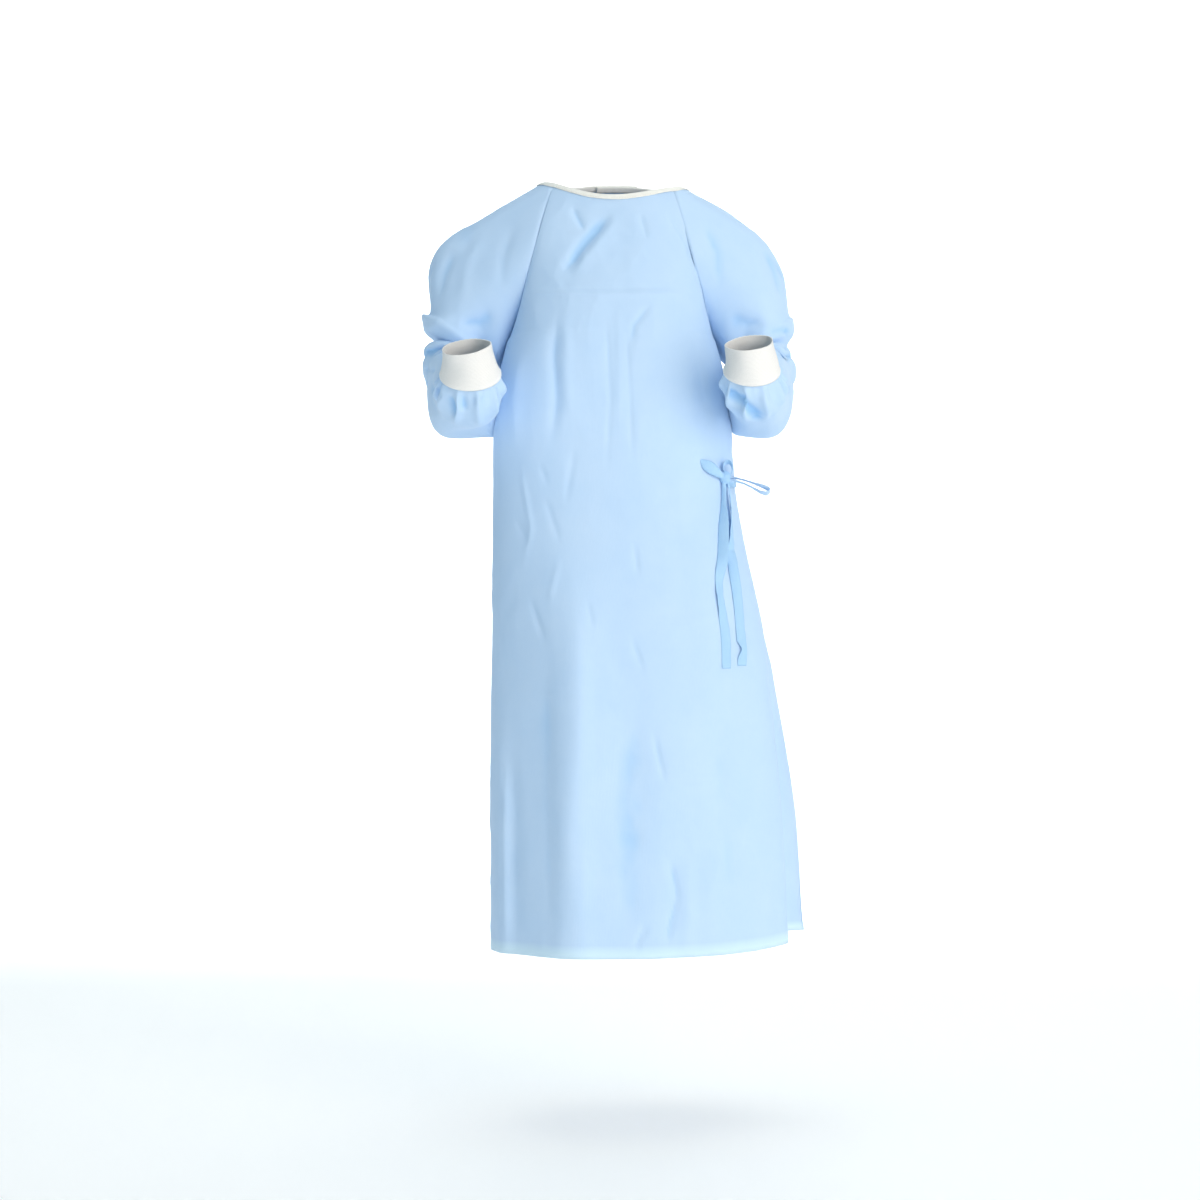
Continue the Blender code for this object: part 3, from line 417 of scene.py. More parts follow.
def threadMaterial():
    # twisted thread: fine slanted strands
    coat, tree, shader = newMaterial("creamThread", 0.6)
    where = place(tree, "ShaderNodeTexCoord")
    twist = place(tree, "ShaderNodeTexNoise", [("Vector", where.outputs["Object"])], in_2=2600.0, in_3=2.0)
    bright = (0.86, 0.85, 0.78)
    colour = blend(tree, twist.outputs[0], tuple(c * 0.8 for c in bright), bright)
    tree.links.new(colour, shader.inputs["Base Color"])
    bumpOn(tree, shader, twist.outputs[0], 0.5, 0.0001)
    return coat


whiteKnit = knitMaterial()
creamThread = threadMaterial()

# front and back panels

# all in mm: width, height, sharpness, then points of the line, across and up in that view
bodyCreases = {
    "front": [
        (10, -6.2, 0.2, (-2, -50), (-43, -99), (-83, -155)), (12, 3, 0.2, (12, -52), (-28, -104), (-66, -160)),
        (6, -3.6, 0.3, (-65, -40), (-43, -82)), (6, -2.2, 0.3, (40, -51), (52, -96)),
        (10, -3.4, 0.2, (78, -45), (115, -105), (128, -150)),
        (6.5, 1.9, 0.3, (-145, -176), (-20, -182), (135, -178)),
        (7, -1.6, 0.3, (-130, -168), (-20, -173), (120, -170)),
        (4, -1.8, 0.6, (-11, -208), (-5, -343), (-11, -463)),
        (4, -1.7, 0.6, (19, -211), (25, -343), (29, -448)), (6, 1.3, 0.3, (6, -190), (9, -300), (8, -400)),
        (9, -4.8, 0.3, (-85, -200), (-91, -275), (-86, -343), (-96, -420)),
        (10, 2, 0.2, (-70, -215), (-72, -300), (-64, -380)), (6, -3, 0.4, (62, -190), (31, -230), (25, -268)),
        (6, 1.6, 0.3, (55, -439), (115, -436)), (6, 2, 0.3, (82, -676), (157, -671)),
        (6, 1.9, 0.3, (93, -913), (198, -909)), (6, 1.2, 0.3, (-150, -790), (-90, -784), (20, -790)),
        (4, -2.6, 0.5, (-38, -650), (-32, -684)), (4.5, -2.4, 0.5, (31, -555), (37, -612)),
        (4.5, -2.8, 0.5, (26, -698), (47, -756)), (5, -3.4, 0.5, (60, -840), (68, -880), (79, -922)),
        (5.5, -4.6, 0.4, (86, -1035), (97, -1100)), (5.5, -4.6, 0.4, (96, -1085), (77, -1165)),
        (5, -3.6, 0.4, (52, -1130), (28, -1168)), (12, 3, 0.2, (110, -1020), (112, -1120), (104, -1180)),
        (4.5, 2.6, 0.5, (-141, -440), (-123, -539), (-138, -592)), (5, -2.4, 0.5, (-103, -490), (-80, -560)),
        (5, 2.4, 0.5, (-80, -580), (-99, -650)), (5, -2.6, 0.5, (-126, -640), (-103, -710)),
        (5.5, -2.4, 0.5, (-58, -414), (-73, -500)), (4.5, -2, 0.5, (-112, -440), (-98, -470)),
        (4.5, -2.2, 0.5, (-150, -520), (-128, -560)), (4, 3, 0.5, (-163, -880), (-165, -1035), (-162, -1190)),
        (10, -3, 0.2, (-152, -860), (-150, -1035), (-149, -1190)),
        (22, 5.5, 0.1, (-60, -600), (-50, -800), (-66, -1000), (-56, -1190)),
        (20, -4.5, 0.1, (-100, -700), (-104, -900), (-98, -1190)),
        (30, -4, 0.1, (30, -760), (22, -950), (36, -1190)), (22, 3, 0.1, (130, -520), (141, -680), (150, -860)),
        (22, -3.6, 0.1, (150, -800), (168, -960), (182, -1180)),
        (12, -3, 0.2, (120, -250), (136, -330), (140, -420)),
        (10, 2.6, 0.2, (-140, -260), (-150, -340), (-146, -420)),
    ],
    # the sides and the back, which the front view doesn't show, creased alike
    "right": [
        (12, -6, 0.2, (-60, -330), (-30, -480), (-48, -640)),
        (16, 6.6, 0.2, (50, -300), (30, -440), (44, -600), (36, -800)),
        (20, -7.5, 0.1, (-20, -700), (-10, -900), (-26, -1180)),
        (14, 6, 0.2, (70, -760), (84, -940), (76, -1180)), (5, -3.9, 0.5, (0, -560), (30, -590)),
    ],
    "left": [
        (10, -5.1, 0.2, (-60, -330), (-48, -400), (-70, -440)), (12, 4.5, 0.2, (40, -320), (26, -430)),
        (16, -6.6, 0.1, (-10, -560), (-20, -760), (-6, -980)),
        (18, 7.5, 0.1, (60, -560), (80, -780), (70, -1160)),
    ],
    "back": [
        (10, -5.4, 0.3, (-60, -60), (-20, -140), (-40, -240)),
        (10, -5.1, 0.3, (70, -50), (96, -150), (80, -250)), (4, 2.4, 0.7, (-140, -178), (0, -182), (150, -177)),
        (10, -5.4, 0.3, (-120, -250), (-110, -380), (-126, -520)),
        (12, 5.1, 0.2, (-20, -240), (-10, -400), (-28, -560)),
        (8, -4.5, 0.3, (50, -300), (64, -430), (56, -520)),
        (18, 6.9, 0.1, (-90, -600), (-82, -820), (-100, -1180)),
        (18, -7.5, 0.1, (-20, -640), (-30, -880), (-16, -1180)),
        (20, 6.9, 0.1, (70, -620), (62, -860), (78, -1180)), (5, -4.2, 0.5, (110, -560), (130, -600)),
        (5, -4.2, 0.5, (-50, -700), (-36, -742)), (4, 2.7, 0.6, (20, -905), (110, -909)),
    ],
}

panels = {
    "frontCloth": {
        "node": "front_panel", "corner": (-0.0917, -0.0459, -0.001), "toward": (0.0917, -0.0459, -0.007),
        "steps": (8, 8), "flat": (0.70, 1.22), "area": 0.67},
    "backClothRight": {
        "node": "back_panel_right", "corner": (-0.0857, 0.0502, 0.0057), "toward": (0.0384, 0.0784, 0.011),
        "steps": (7, 7), "flat": (0.60, 1.22), "area": 0.57, "lap": 0.0046},
    "backClothLeft": {
        "node": "back_panel_left", "corner": (0.0857, 0.0502, -0.0004), "toward": (-0.0254, 0.0760, 0.0093),
        "steps": (7, 7), "flat": (0.50, 1.22), "area": 0.455},
}
tieSpots = [(0.150, -0.150, -0.445), (0.165, -0.140, -0.46), (0.180, -0.100, -0.466), (0.150, 0.010, -0.466)]
clothWall = 0.0006
# the hem: where it is turned, how proud it stands, and the pressed line along its edge
hemTurn = {"deep": 0.0150, "edge": 0.0125, "proud": 0.0005, "line": 0.0145, "press": 0.0006, "soft": 0.0016}
# how far a seam's edge goes on under the other piece, and how far it sinks
seams = {"side": (0.0014, 0.0005), "sleeve": (0.0032, 0.0007)}
# painted shade in creases, a deeper blue: its most, the depth where it starts and the depth where it is full
foldTint = {"panel": (0.60, 0.0024, 0.0064), "sleeve": (0.85, 0.0010, 0.0075)}


def smallFolds(points, strength=1.0):
    # soft swell, then dents that come in patches, larger and taller down the body
    patch = ease(-0.15, 0.35, swell(points, 0.16, 3.1, (1, 1, 0.7)))
    lift = 0.0020 * swell(points, 0.10, 7.7, (1, 1, 0.45))
    lift += 0.0014 * (crumple(points, 0.055, 1.3, (1, 1, 0.62)) - 0.55) * (0.35 + 0.65 * patch)
    lift += 0.0005 * (crumple(points, 0.024, 5.9, (1, 1, 0.75)) - 0.55) * (0.25 + 0.75 * patch)
    return lift * strength


def clothShape(grid, normals, creases, strength=1.0):
    lift = smallFolds(grid, strength)
    for side, lines in creases.items():
        for width, height, sharp, *line in lines:
            lift += crease(grid, normals, side, np.array(line) / 1000, width / 1000, height / 1000, sharp)
    return lift


# painted shade: how much a crease is darkened, from how deep it is
def paintedShadeIn(lift, kind):
    most, start, full = foldTint[kind]
    return most * ease(start, full, -lift)


coarse = {}
for name, info in panels.items():
    bm = outerFace(info["node"], lambda p: (0, 0, p.z), solidWall["cloth"])
    grid = rowsOf(bm, info["corner"], info["toward"], False)
    coarse[name] = grid
    grid = finer(finer(grid, info["steps"][0], 0), info["steps"][1], 1)
    normals = outward(grid, False)
    lift = clothShape(grid, normals, bodyCreases)
    # painted shade in the panel's creases, from their depth
    fold = paintedShadeIn(lift, "panel")
    # at the neck the cloth stays inside its binding, and under the ties it lies as they do
    down = np.linspace(0, 1, len(grid))[:, None]
    lift *= ease(0.004, 0.045, down)
    for spot in tieSpots:
        gap = np.linalg.norm(grid - np.array(spot), axis=2)
        lift *= ease(0.0, 0.075, gap)
    side, height = grid[..., 0], -grid[..., 2]
    hang = ease(0.15, 0.175, side) * ease(0.77, 0.74, height) * ease(0.46, 0.50, height)
    lift = np.where(grid[..., 1] < 0.0, lift * (1 - 0.8 * hang), lift)
    # the free edge of the wrapped panel lies down on the panel under it
    if "lap" in info:
        free = np.linalg.norm(grid - grid[:, -1:], axis=2)
        pressed = info["lap"] * ease(0.050, 0.004, free) * ease(0.0, 0.03, down)
        lift = lift * ease(0.0, 0.05, free) - pressed
    # the turned hem: two layers with a pressed edge
    rim = np.linalg.norm(grid - grid[-1:], axis=2)
    hem = ease(hemTurn["deep"], hemTurn["edge"], rim)
    line = np.exp(-((rim - hemTurn["line"]) / hemTurn["soft"]) ** 2)
    lift += hemTurn["proud"] * hem - hemTurn["press"] * line
    grid = grid + normals * lift[..., None]
    if name != "frontCloth":
        # the side seam, below the armhole: the back is tucked under the front
        under, sink = seams["side"]
        below = ease(-0.252, -0.262, grid[:, :1, 2])[..., None]
        grid[:, :1] += (unitOf(grid[:, :1] - grid[:, 1:2]) * under - normals[:, :1] * sink) * below
    clothPiece(name, grid, normals, clothWall, info["node"], blueCloth, "nonwoven", band=hem, fold=fold)

# sleeves

# tucks at the cuff seam: how often round the sleeve, turn, reach along it, height
tuckWaves = [(13, 0.3, 0.022, 0.0006), (7, 1.9, 0.036, 0.0006),
             (19, 2.2, 0.014, 0.0005), (4, 4.0, 0.060, 0.0010)]
# the spare cloth under the arm: how far out it is, how wide, and where it begins, front to back
spare = {"out": 0.180, "wide": 0.020, "begins": -0.085, "full": -0.045}

sleeves = {
    "sleeveClothRight": {
        "node": "sleeve_right", "corner": (-0.157, 0.012, -0.250), "toward": (-0.156, -0.02, -0.245),
        "flat": (0.52, 0.60), "area": 0.213, "slack": 0.036, "lean": 0.012,
        "creases": {
            "front": [
                (6, -7.8, 0.4, (-306, -252), (-283, -262), (-250, -256)),
                (10, 4, 0.2, (-300, -232), (-267, -216), (-240, -214)),
                (6, -6.2, 0.4, (-298, -286), (-267, -298)),
                (8, -3.8, 0.3, (-244, -100), (-262, -140), (-272, -185)),
                (9, 3, 0.2, (-205, -80), (-225, -130), (-233, -190)),
                (8, -3, 0.3, (-150, -60), (-170, -120), (-172, -170)),
                (8, -4.6, 0.3, (-180, -190), (-205, -215), (-240, -222)),
                (7, -4.6, 0.3, (-276, -300), (-282, -336), (-262, -372)),
                (4.5, -4, 0.4, (-262, -326), (-258, -350)), (5.5, -5.6, 0.4, (-244, -336), (-238, -376)),
                (4.5, -4.8, 0.4, (-222, -338), (-220, -366)), (4.5, -4.4, 0.4, (-204, -334), (-209, -358)),
                (5, -4.8, 0.4, (-186, -326), (-196, -356)),
            ],
            "right": [
                (8, -6, 0.3, (-60, -262), (10, -270), (60, -250)),
                (10, 4.6, 0.2, (-50, -216), (10, -226), (66, -206)),
                (8, -5, 0.3, (-80, -300), (-20, -316), (40, -300)),
                (7, -4, 0.3, (-190, -300), (-140, -330), (-90, -322)),
                (9, -3.4, 0.3, (-20, -110), (6, -150), (0, -196)),
            ],
            "back": [
                (8, -5, 0.3, (-280, -240), (-240, -262), (-200, -250)),
                (8, -4.4, 0.3, (-270, -290), (-232, -304), (-200, -290)),
                (9, -3.4, 0.3, (-180, -80), (-210, -130), (-216, -190)),
            ],
            "top": [
                (8, -3, 0.3, (-180, -30), (-220, 0), (-250, 20)),
            ],
        },
    },
    "sleeveClothLeft": {
        "node": "sleeve_left", "corner": (0.154, 0.012, -0.250), "toward": (0.153, -0.02, -0.245),
        "flat": (0.50, 0.60), "area": 0.197, "slack": 0.028, "lean": 0.010,
        "creases": {
            "front": [
                (6, -6, 0.4, (292, -258), (268, -271), (236, -266)),
                (8, -4, 0.3, (286, -236), (262, -228), (232, -236)),
                (4.2, -8, 0.4, (190, -322), (192, -342), (198, -364)),
                (8, -10, 0.25, (156, -326), (196, -356), (232, -392)),
                (9, 3.4, 0.2, (206, -330), (228, -352), (250, -378)),
                (5, -5, 0.4, (270, -220), (276, -244), (262, -262)),
                (8, -3.4, 0.3, (234, -92), (252, -135), (262, -185)),
                (9, 2.8, 0.2, (204, -78), (224, -130), (232, -185)),
                (8, -3, 0.3, (140, -60), (160, -110), (166, -170)),
                (8, -4.2, 0.3, (176, -196), (206, -218), (236, -220)),
            ],
            "left": [
                (8, -6, 0.3, (-50, -262), (10, -274), (60, -258)),
                (10, 4, 0.2, (-40, -222), (10, -232), (66, -212)),
                (8, -5, 0.3, (-90, -296), (-30, -318), (30, -300)),
                (7, -4, 0.3, (-180, -296), (-130, -326), (-90, -320)),
                (9, -3.4, 0.3, (-26, -110), (4, -150), (-2, -196)),
            ],
            "back": [
                (8, -5, 0.3, (276, -244), (236, -266), (196, -252)),
                (8, -4.4, 0.3, (266, -292), (230, -306), (196, -292)),
                (9, -3.4, 0.3, (176, -80), (206, -130), (212, -190)),
            ],
            "top": [
                (8, -3, 0.3, (176, -30), (216, 0), (246, 20)),
            ],
        },
    },
}
for name, info in sleeves.items():
    # the middle of the sleeve, from which its outer face looks away
    bm = outerFace(info["node"], lambda p: (math.copysign(0.225, p.x), min(0.012, p.y), -0.28),
                   solidWall["cloth"])
    grid = rowsOf(bm, info["corner"], info["toward"], True)
    coarse[name] = grid
    grid = finer(finer(grid, 5, 0), 5, 1, closed=True)
    normals = outward(grid, True)
    lift = clothShape(grid, normals, info["creases"], 1.5)
    run = np.linalg.norm(np.diff(grid, axis=0), axis=2).mean(axis=1)
    toCuff = np.concatenate([np.cumsum(run[::-1])[::-1], [0]])[:, None]
    toHead = np.concatenate([[0], np.cumsum(run)])[:, None]
    turned = np.linspace(0, 2 * math.pi, grid.shape[1] + 1)[None, :-1]
    tuck = np.zeros(grid.shape[:2])
    for k, (times, turn, reach, height) in enumerate(tuckWaves):
        wave = np.cos(turned * times + turn + 0.5 * np.sin(turned * 2 + k))
        tuck += height * wave * np.exp(-(toCuff / reach) ** 2)
    lift = lift * ease(0.0, 0.02, toCuff) * ease(0.0, 0.004, toHead) + tuck * ease(0.0, 0.006, toCuff)
    # painted shade in the sleeve's creases and tucks, from their depth
    fold = paintedShadeIn(lift, "sleeve")
    neckPart = (np.abs(grid[..., 0]) < 0.125) & (grid[..., 2] > -0.03)
    lift = np.where(neckPart, lift * ease(0.006, 0.03, toHead + 0 * lift), lift)
    # spare cloth under the arm hangs down beside the body
    side = np.abs(grid[..., 0])
    beside = np.exp(-((side - spare["out"]) / spare["wide"]) ** 2) * ease(0.002, 0.022, toHead)
    under = ease(0.15, -0.5, normals[..., 2]) * beside * ease(spare["begins"], spare["full"], grid[..., 1])
    # the slack at the elbow leans on the body
    inner = ease(0.0, -0.7, normals[..., 0] * np.sign(grid[..., 0])) * ease(-0.300, -0.350, grid[..., 2])
    lean = info["lean"] * inner * ease(-0.12, -0.07, grid[..., 1]) * -np.sign(grid[..., 0])
    grid = grid + normals * lift[..., None] - np.array([0, 0, 1.0]) * (info["slack"] * under)[..., None]
    grid[..., 0] += lean
    # the seam: the sleeve is tucked under the panels
    onward, sink = seams["sleeve"]
    sewn = np.where(neckPart[0], 0, 1)[:, None]
    grid[0] += (unitOf(grid[0] - grid[1]) * onward - normals[0] * sink) * sewn
    clothPiece(name, grid, normals, clothWall, info["node"], blueCloth, "nonwoven", closed=True,
               band=np.zeros(grid.shape[:2]), fold=fold)

# knitted cuffs

cuffs = {
    "cuffKnitRight": {"node": "cuff_right", "corner": (-0.256, -0.222, -0.310), "flat": (0.25, 0.055)},
    "cuffKnitLeft": {"node": "cuff_left", "corner": (0.2443, -0.221, -0.304), "flat": (0.24, 0.055)},
}
knitWall = 0.0012
ribHeight = 0.00032
for name, info in cuffs.items():
    middle = sum(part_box(info["node"]), Vector()) / 2
    bm = outerFace(info["node"], lambda p: middle, solidWall["knit"])
    rim = [v for v in bm.verts if v.is_boundary]
    start = min(rim, key=lambda v: (v.co - Vector(info["corner"])).length)
    grid = rowsOf(bm, info["corner"], start.co + Vector((0, -0.01, 0)), True)
    grid = finer(finer(grid, 10, 0), 8, 1, closed=True)
    normals = outward(grid, True)
    ribs = np.where(np.arange(grid.shape[1]) % 2, ribHeight, -ribHeight)[None, :]
    run = np.linalg.norm(np.diff(grid, axis=0), axis=2).mean(axis=1)
    run = np.concatenate([[0], np.cumsum(run)])[:, None]
    turned = np.linspace(0, 2 * math.pi, grid.shape[1] + 1)[None, :-1]
    # slack in the knit, a rolled seam below and a soft edge at the mouth
    slack = 0.0007 * np.sin(turned * 3 + run * 90) + 0.0006 * np.sin(turned * 5 - run * 60 + 1)
    seam = 0.0009 * np.exp(-((run - 0.0025) / 0.0016) ** 2)
    lift = ribs * ease(0.0035, 0.006, run) + slack * ease(0.0, 0.02, run) + seam
    grid = grid + normals * lift[..., None]
    grid[-1] += 0.0002 * np.sin(turned[0] * 28)[:, None]
    clothPiece(name, grid, normals, knitWall, info["node"], whiteKnit, "knit", closed=True)

# neck binding, folded over the edge of the cloth

# height of the strip, how far it stands off the cloth, the cloth inside it, the step between its rows
binding = {"height": 0.0080, "over": 0.0016, "cloth": 0.0015, "step": 0.0020, "flat": (0.021, 0.68)}
stitch = {"size": (0.0026, 0.00045, 0.0003), "down": 0.0058, "out": 0.00185}


def neckLine():
    # the top edge of the cloth all the way round, with the way down the cloth and the way out of it
    right, left = coarse["sleeveClothRight"], coarse["sleeveClothLeft"]
    # of the sleeves, only the columns that end at the neck
    parts = [coarse["backClothRight"][:2, ::-1], right[:2, 20:12:-1], coarse["frontCloth"][:2],
             left[:2, 13:21], coarse["backClothLeft"][:2]]
    top = np.concatenate([p[0] for p in parts])
    fall = unitOf(np.concatenate([p[1] - p[0] for p in parts]))
    runs = np.concatenate([[0], np.cumsum(np.linalg.norm(np.diff(top, axis=0), axis=1))])
    at = np.linspace(0, runs[-1], int(runs[-1] / binding["step"]) + 1)
    top = np.stack([np.interp(at, runs, top[:, k]) for k in range(3)], axis=1)
    fall = np.stack([np.interp(at, runs, fall[:, k]) for k in range(3)], axis=1)
    for _ in range(4):
        top[1:-1] = (top[:-2] + 2 * top[1:-1] + top[2:]) / 4
        fall[1:-1] = (fall[:-2] + 2 * fall[1:-1] + fall[2:]) / 4
    fall = unitOf(fall)
    out = unitOf(np.cross(np.gradient(top, axis=0), fall))
    out *= np.sign((out * (top * [1, 1, 0])).sum(axis=1).mean())
    return top, fall, out, at


def bindingStrip():
    top, fall, out, at = neckLine()
    tall, over = binding["height"], binding["over"]
    pucker = 0.00022 * np.sin(at * 560) + 0.0003 * np.sin(at * 133 + 1) + 0.0003 * np.sin(at * 61)
    inside = binding["cloth"]
    # the section runs up the outside, over the edge and down the inside, then back under itself
    section = [(tall, over), (tall - 0.0022, over + 0.0002), (tall - 0.0030, over - 0.0002),
               (0.002, over + 0.0001), (-0.0006, over - 0.0003), (-0.0014, over - 0.0012),
               (-0.0016, -inside / 2), (-0.0014, -inside - 0.0004), (-0.0006, -inside - 0.0013),
               (0.002, -inside - over), (tall - 0.0030, -inside - over + 0.0002),
               (tall, -inside - over), (tall, -inside - 0.0009), (0.0002, -inside - 0.0007),
               (-0.0006, -inside / 2), (0.0002, 0.0007), (tall, 0.0009)]
    rings = []
    for down, away in section:
        swing = pucker * (1.0 if away > 0 else 0.6) * min(1, max(0, down) / 0.004)
        rings.append(top + fall * down + out * (away + swing)[:, None])
    grid = np.stack(rings, axis=1)
    count, sides = grid.shape[:2]
    mesh = bpy.data.meshes.new("neckBinding")
    index = np.arange(count * sides).reshape(count, sides)
    faces = [(index[i, j], index[i + 1, j], index[i + 1, (j + 1) % sides], index[i, (j + 1) % sides])
             for i in range(count - 1) for j in range(sides)]
    mesh.from_pydata(grid.reshape(-1, 3).tolist(), [], faces)
    bm = bmesh.new()
    bm.from_mesh(mesh)
    bmesh.ops.holes_fill(bm, edges=[e for e in bm.edges if e.is_boundary], sides=0)
    bmesh.ops.recalc_face_normals(bm, faces=bm.faces)
    bm.to_mesh(mesh)
    bm.free()
    strip = bpy.data.objects.new("neckBinding", mesh)
    bpy.context.scene.collection.objects.link(strip)
    layer = mesh.uv_layers.new(name="cloth")
    for loop in mesh.loops:
        i, j = divmod(loop.vertex_index, sides)
        layer.data[loop.index].uv = (at[i], section[j][0] + (0.02 if section[j][1] < 0 else 0))
    mesh.shade_smooth()
    return strip, top, fall, out, at


strip, top, fall, out, at = bindingStrip()
print("neck edge", round(float(at[-1]), 3), "m")
finish(strip, "neck_binding", creamTape)


def oneStitch():
    # a short bar with soft ends, modelled once; every stitch is a copy of it
    bpy.ops.object.select_all(action="DESELECT")
    bpy.ops.mesh.primitive_cube_add(size=1, location=(0, 0, 0))
    bar = bpy.context.object
    bpy.ops.object.mode_set(mode="EDIT")
    bpy.ops.mesh.select_all(action="SELECT")
    bpy.ops.mesh.bevel(offset=0.22, segments=1, affect="EDGES")
    bpy.ops.object.mode_set(mode="OBJECT")
    verts = np.array([v.co[:] for v in bar.data.vertices])
    faces = [tuple(f.vertices) for f in bar.data.polygons]
    bpy.data.meshes.remove(bar.data)
    return verts, faces


stitchVerts, stitchFaces = oneStitch()


def stitchRow(name, places, along, outs):
    verts, faces = [], []
    long, wide, high = stitch["size"]
    for p, a, n in zip(places, unitOf(along), unitOf(outs)):
        b = unitOf(np.cross(n, a))
        n = np.cross(a, b)
        faces += [tuple(len(verts) + k for k in face) for face in stitchFaces]
        verts += [tuple(p + a * x * long + b * y * wide + n * z * high) for x, y, z in stitchVerts]
    mesh = bpy.data.meshes.new(name)
    mesh.from_pydata(verts, [], faces)
    mesh.shade_smooth()
    row = bpy.data.objects.new(name, mesh)
    bpy.context.scene.collection.objects.link(row)
    finish(row, None, creamThread)


picks = np.arange(2, len(at) - 2, 2)
row = top + fall * stitch["down"] + out * stitch["out"]
stitchRow("neckStitches", row[picks], np.gradient(top, axis=0)[picks], out[picks])

# tie at the front: two hanging ends, bow, loop, the sewn leaf and the knot

clothTree = BVHTree.FromPolygons([v.co[:] for v in made["frontCloth"].data.vertices],
                                 [tuple(f.vertices) for f in made["frontCloth"].data.polygons])
knotMiddle = np.array(sum(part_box("tie_knot"), Vector()) / 2)
# wall, faces across, steps between two rows of the lists below, gap between tape and cloth
tape = {"wall": 0.0005, "across": 12, "steps": 9, "gap": 0.0006}


def onFront(across, up):
    # the place on the finished front cloth seen here from the front, and its way out
    spot, look = clothTree.ray_cast(Vector((across, -1, up)), Vector((0, 1, 0)))[:2]
    return np.array(spot), np.array(look) * (1 if look.y < 0 else -1)


def smoothRows(rows, angle=3):
    # the rows of a tape in m, but one column in degrees, with smooth steps between them
    unit = np.full(6, 1000.0)
    unit[angle] = 1
    return finer(np.array(rows) / unit, tape["steps"], 0)


def alongFront(rows, slant=(1.0, 0.0)):
    # a tape's rows laid on the front cloth: its line, the way across it, its widths and its bow
    line, across, widths, curl = [], [], [], []
    for x, z, width, turn, off, bow in smoothRows(rows):
        spot, look = onFront(x, z)
        level = unitOf(np.cross([0.0, 0.0, 1.0], look))
        upward = unitOf(np.cross(look, level))
        turn = math.radians(turn)
        line.append(spot + look * (width / 2 * abs(math.sin(turn)) + tape["gap"] + off))
        across.append((level * slant[0] + upward * slant[1]) * math.cos(turn) + look * math.sin(turn))
        widths.append(width)
        curl.append(bow)
    return np.array(line), np.array(across), widths, curl


def tapeSheet(name, info, line, across, widths, curl, notch=None, ripple=0.00025):
    # a tape along a line: bowed across its width, with pressed edges and small ripples
    along = unitOf(np.gradient(line, axis=0))
    across = unitOf(across - along * (along * across).sum(axis=1)[:, None])
    front = unitOf(np.cross(along, across))
    share = np.linspace(-1, 1, tape["across"] + 1)
    grid = []
    for k in range(len(line)):
        s = share.copy()
        if notch is not None:
            s = s + (1 - s) * notch[k] / 2
        proud = curl[k] * (1 - s**2) + ripple * np.sin(k * 0.9 + 2.2 * s) * np.abs(s)
        grid.append(line[k] + np.outer(s * widths[k] / 2, across[k]) + np.outer(proud, front[k]))
    looks = np.repeat(front[:, None], tape["across"] + 1, axis=1)
    clothPiece(name, np.array(grid), looks, tape["wall"], info["node"], info.get("coat", blueTape), "tape")


hangingEnds = {
    # mm: across, up, width, turn in degrees (above nought it looks to the left), stand off, bow of the tape
    "endTapeFront": {"node": "tie_end_front", "flat": (0.017, 0.30), "rows": [
        (164, -464, 6, 30, 4.6, 1), (164, -480, 7, 66, 3, 0.8), (164, -499, 9, 72, 1, 0.6),
        (163, -520, 15, 66, 0, 0.6), (162.2, -540, 17, 60, 0, 0.8), (161.6, -562, 17, 58, 0, 0.8),
        (161, -585, 17, 46, 0, 0.8), (159.5, -608, 16, 10, 0.2, 1), (160, -635, 16, -12, 0, 0.8),
        (164, -660, 16, -8, 0, 1), (168, -690, 16, 6, 0, 1.2), (170, -720, 16, 4, 0, 0.8),
        (170.5, -748, 16, -4, 0, 0.4)]},
    # the corner of this one is turned in near its end: where, how far along and how deep
    "endTapeSide": {"node": "tie_end_side", "flat": (0.017, 0.30), "notch": (-0.7190, 0.0130, 0.9), "rows": [
        (170, -464, 7, -20, 4.4, 1.4), (172.8, -485, 10, -38, 2.6, 1.4), (175.2, -508, 13, -42, 1, 1.2),
        (177.2, -535, 15, -30, 0.4, 1.2), (178.4, -560, 16, -12, 0.2, 1), (178.6, -580, 16, 16, 0, 1.4),
        (180, -602, 16, 28, 0.4, 1.6), (185, -630, 16, 22, 0.2, 1.4), (189, -660, 16, 14, 0, 1.2),
        (191.5, -690, 16, 10, 0, 1), (193.6, -720, 16, 14, 0.6, 1.6), (194.6, -744, 16, 2, 0, 0.4)]},
}
for name, info in hangingEnds.items():
    notch = None
    if "notch" in info:
        height, length, deep = info["notch"]
        notch = deep * np.clip(1 - np.abs(smoothRows(info["rows"])[:, 1] - height) / length, 0, 1)
    tapeSheet(name, info, *alongFront(info["rows"]), notch)

bows = {
    # mm from the middle of the knot: across, back, up; width, tilt in degrees, bow of the tape
    "bowTape": {"node": "tie_bow", "flat": (0.012, 0.135), "coat": blueCloth, "rows": [
        (6, 0, -0.5, 8, 30, 1), (15, 0.5, -0.8, 10, 16, 1), (29, 1, -4, 12, 10, 0.8),
        (42, 2, -8.2, 12, 14, 0.8), (54, 3, -12, 12, 24, 1.2), (63.5, 4, -16, 12, 34, 1.4),
        (66.8, 4, -19.6, 12, 38, 1.2), (63, 4, -23.6, 12, 34, 1.2), (53, 3, -21.2, 12, 22, 1),
        (40, 2, -14.2, 12, 12, 0.8), (27, 1, -8.4, 12, 12, 0.8), (15, 0.5, -5, 10, 20, 1),
        (6, 0, -4, 8, 30, 1)]},
    "loopTape": {"node": "tie_loop", "flat": (0.012, 0.055), "rows": [
        (-1, 0, 5, 7, 20, 0.8), (-3, 0, 11, 10, 26, 1), (-2.4, 0, 18, 12, 30, 1.2),
        (1, 0, 22.8, 12, 32, 1.2), (6.2, 0, 23.2, 12, 32, 1.2), (9.6, 0, 18, 12, 30, 1.2),
        (10.4, 0, 11, 11, 26, 1), (8.6, 0, 6, 8, 20, 0.8)]},
}
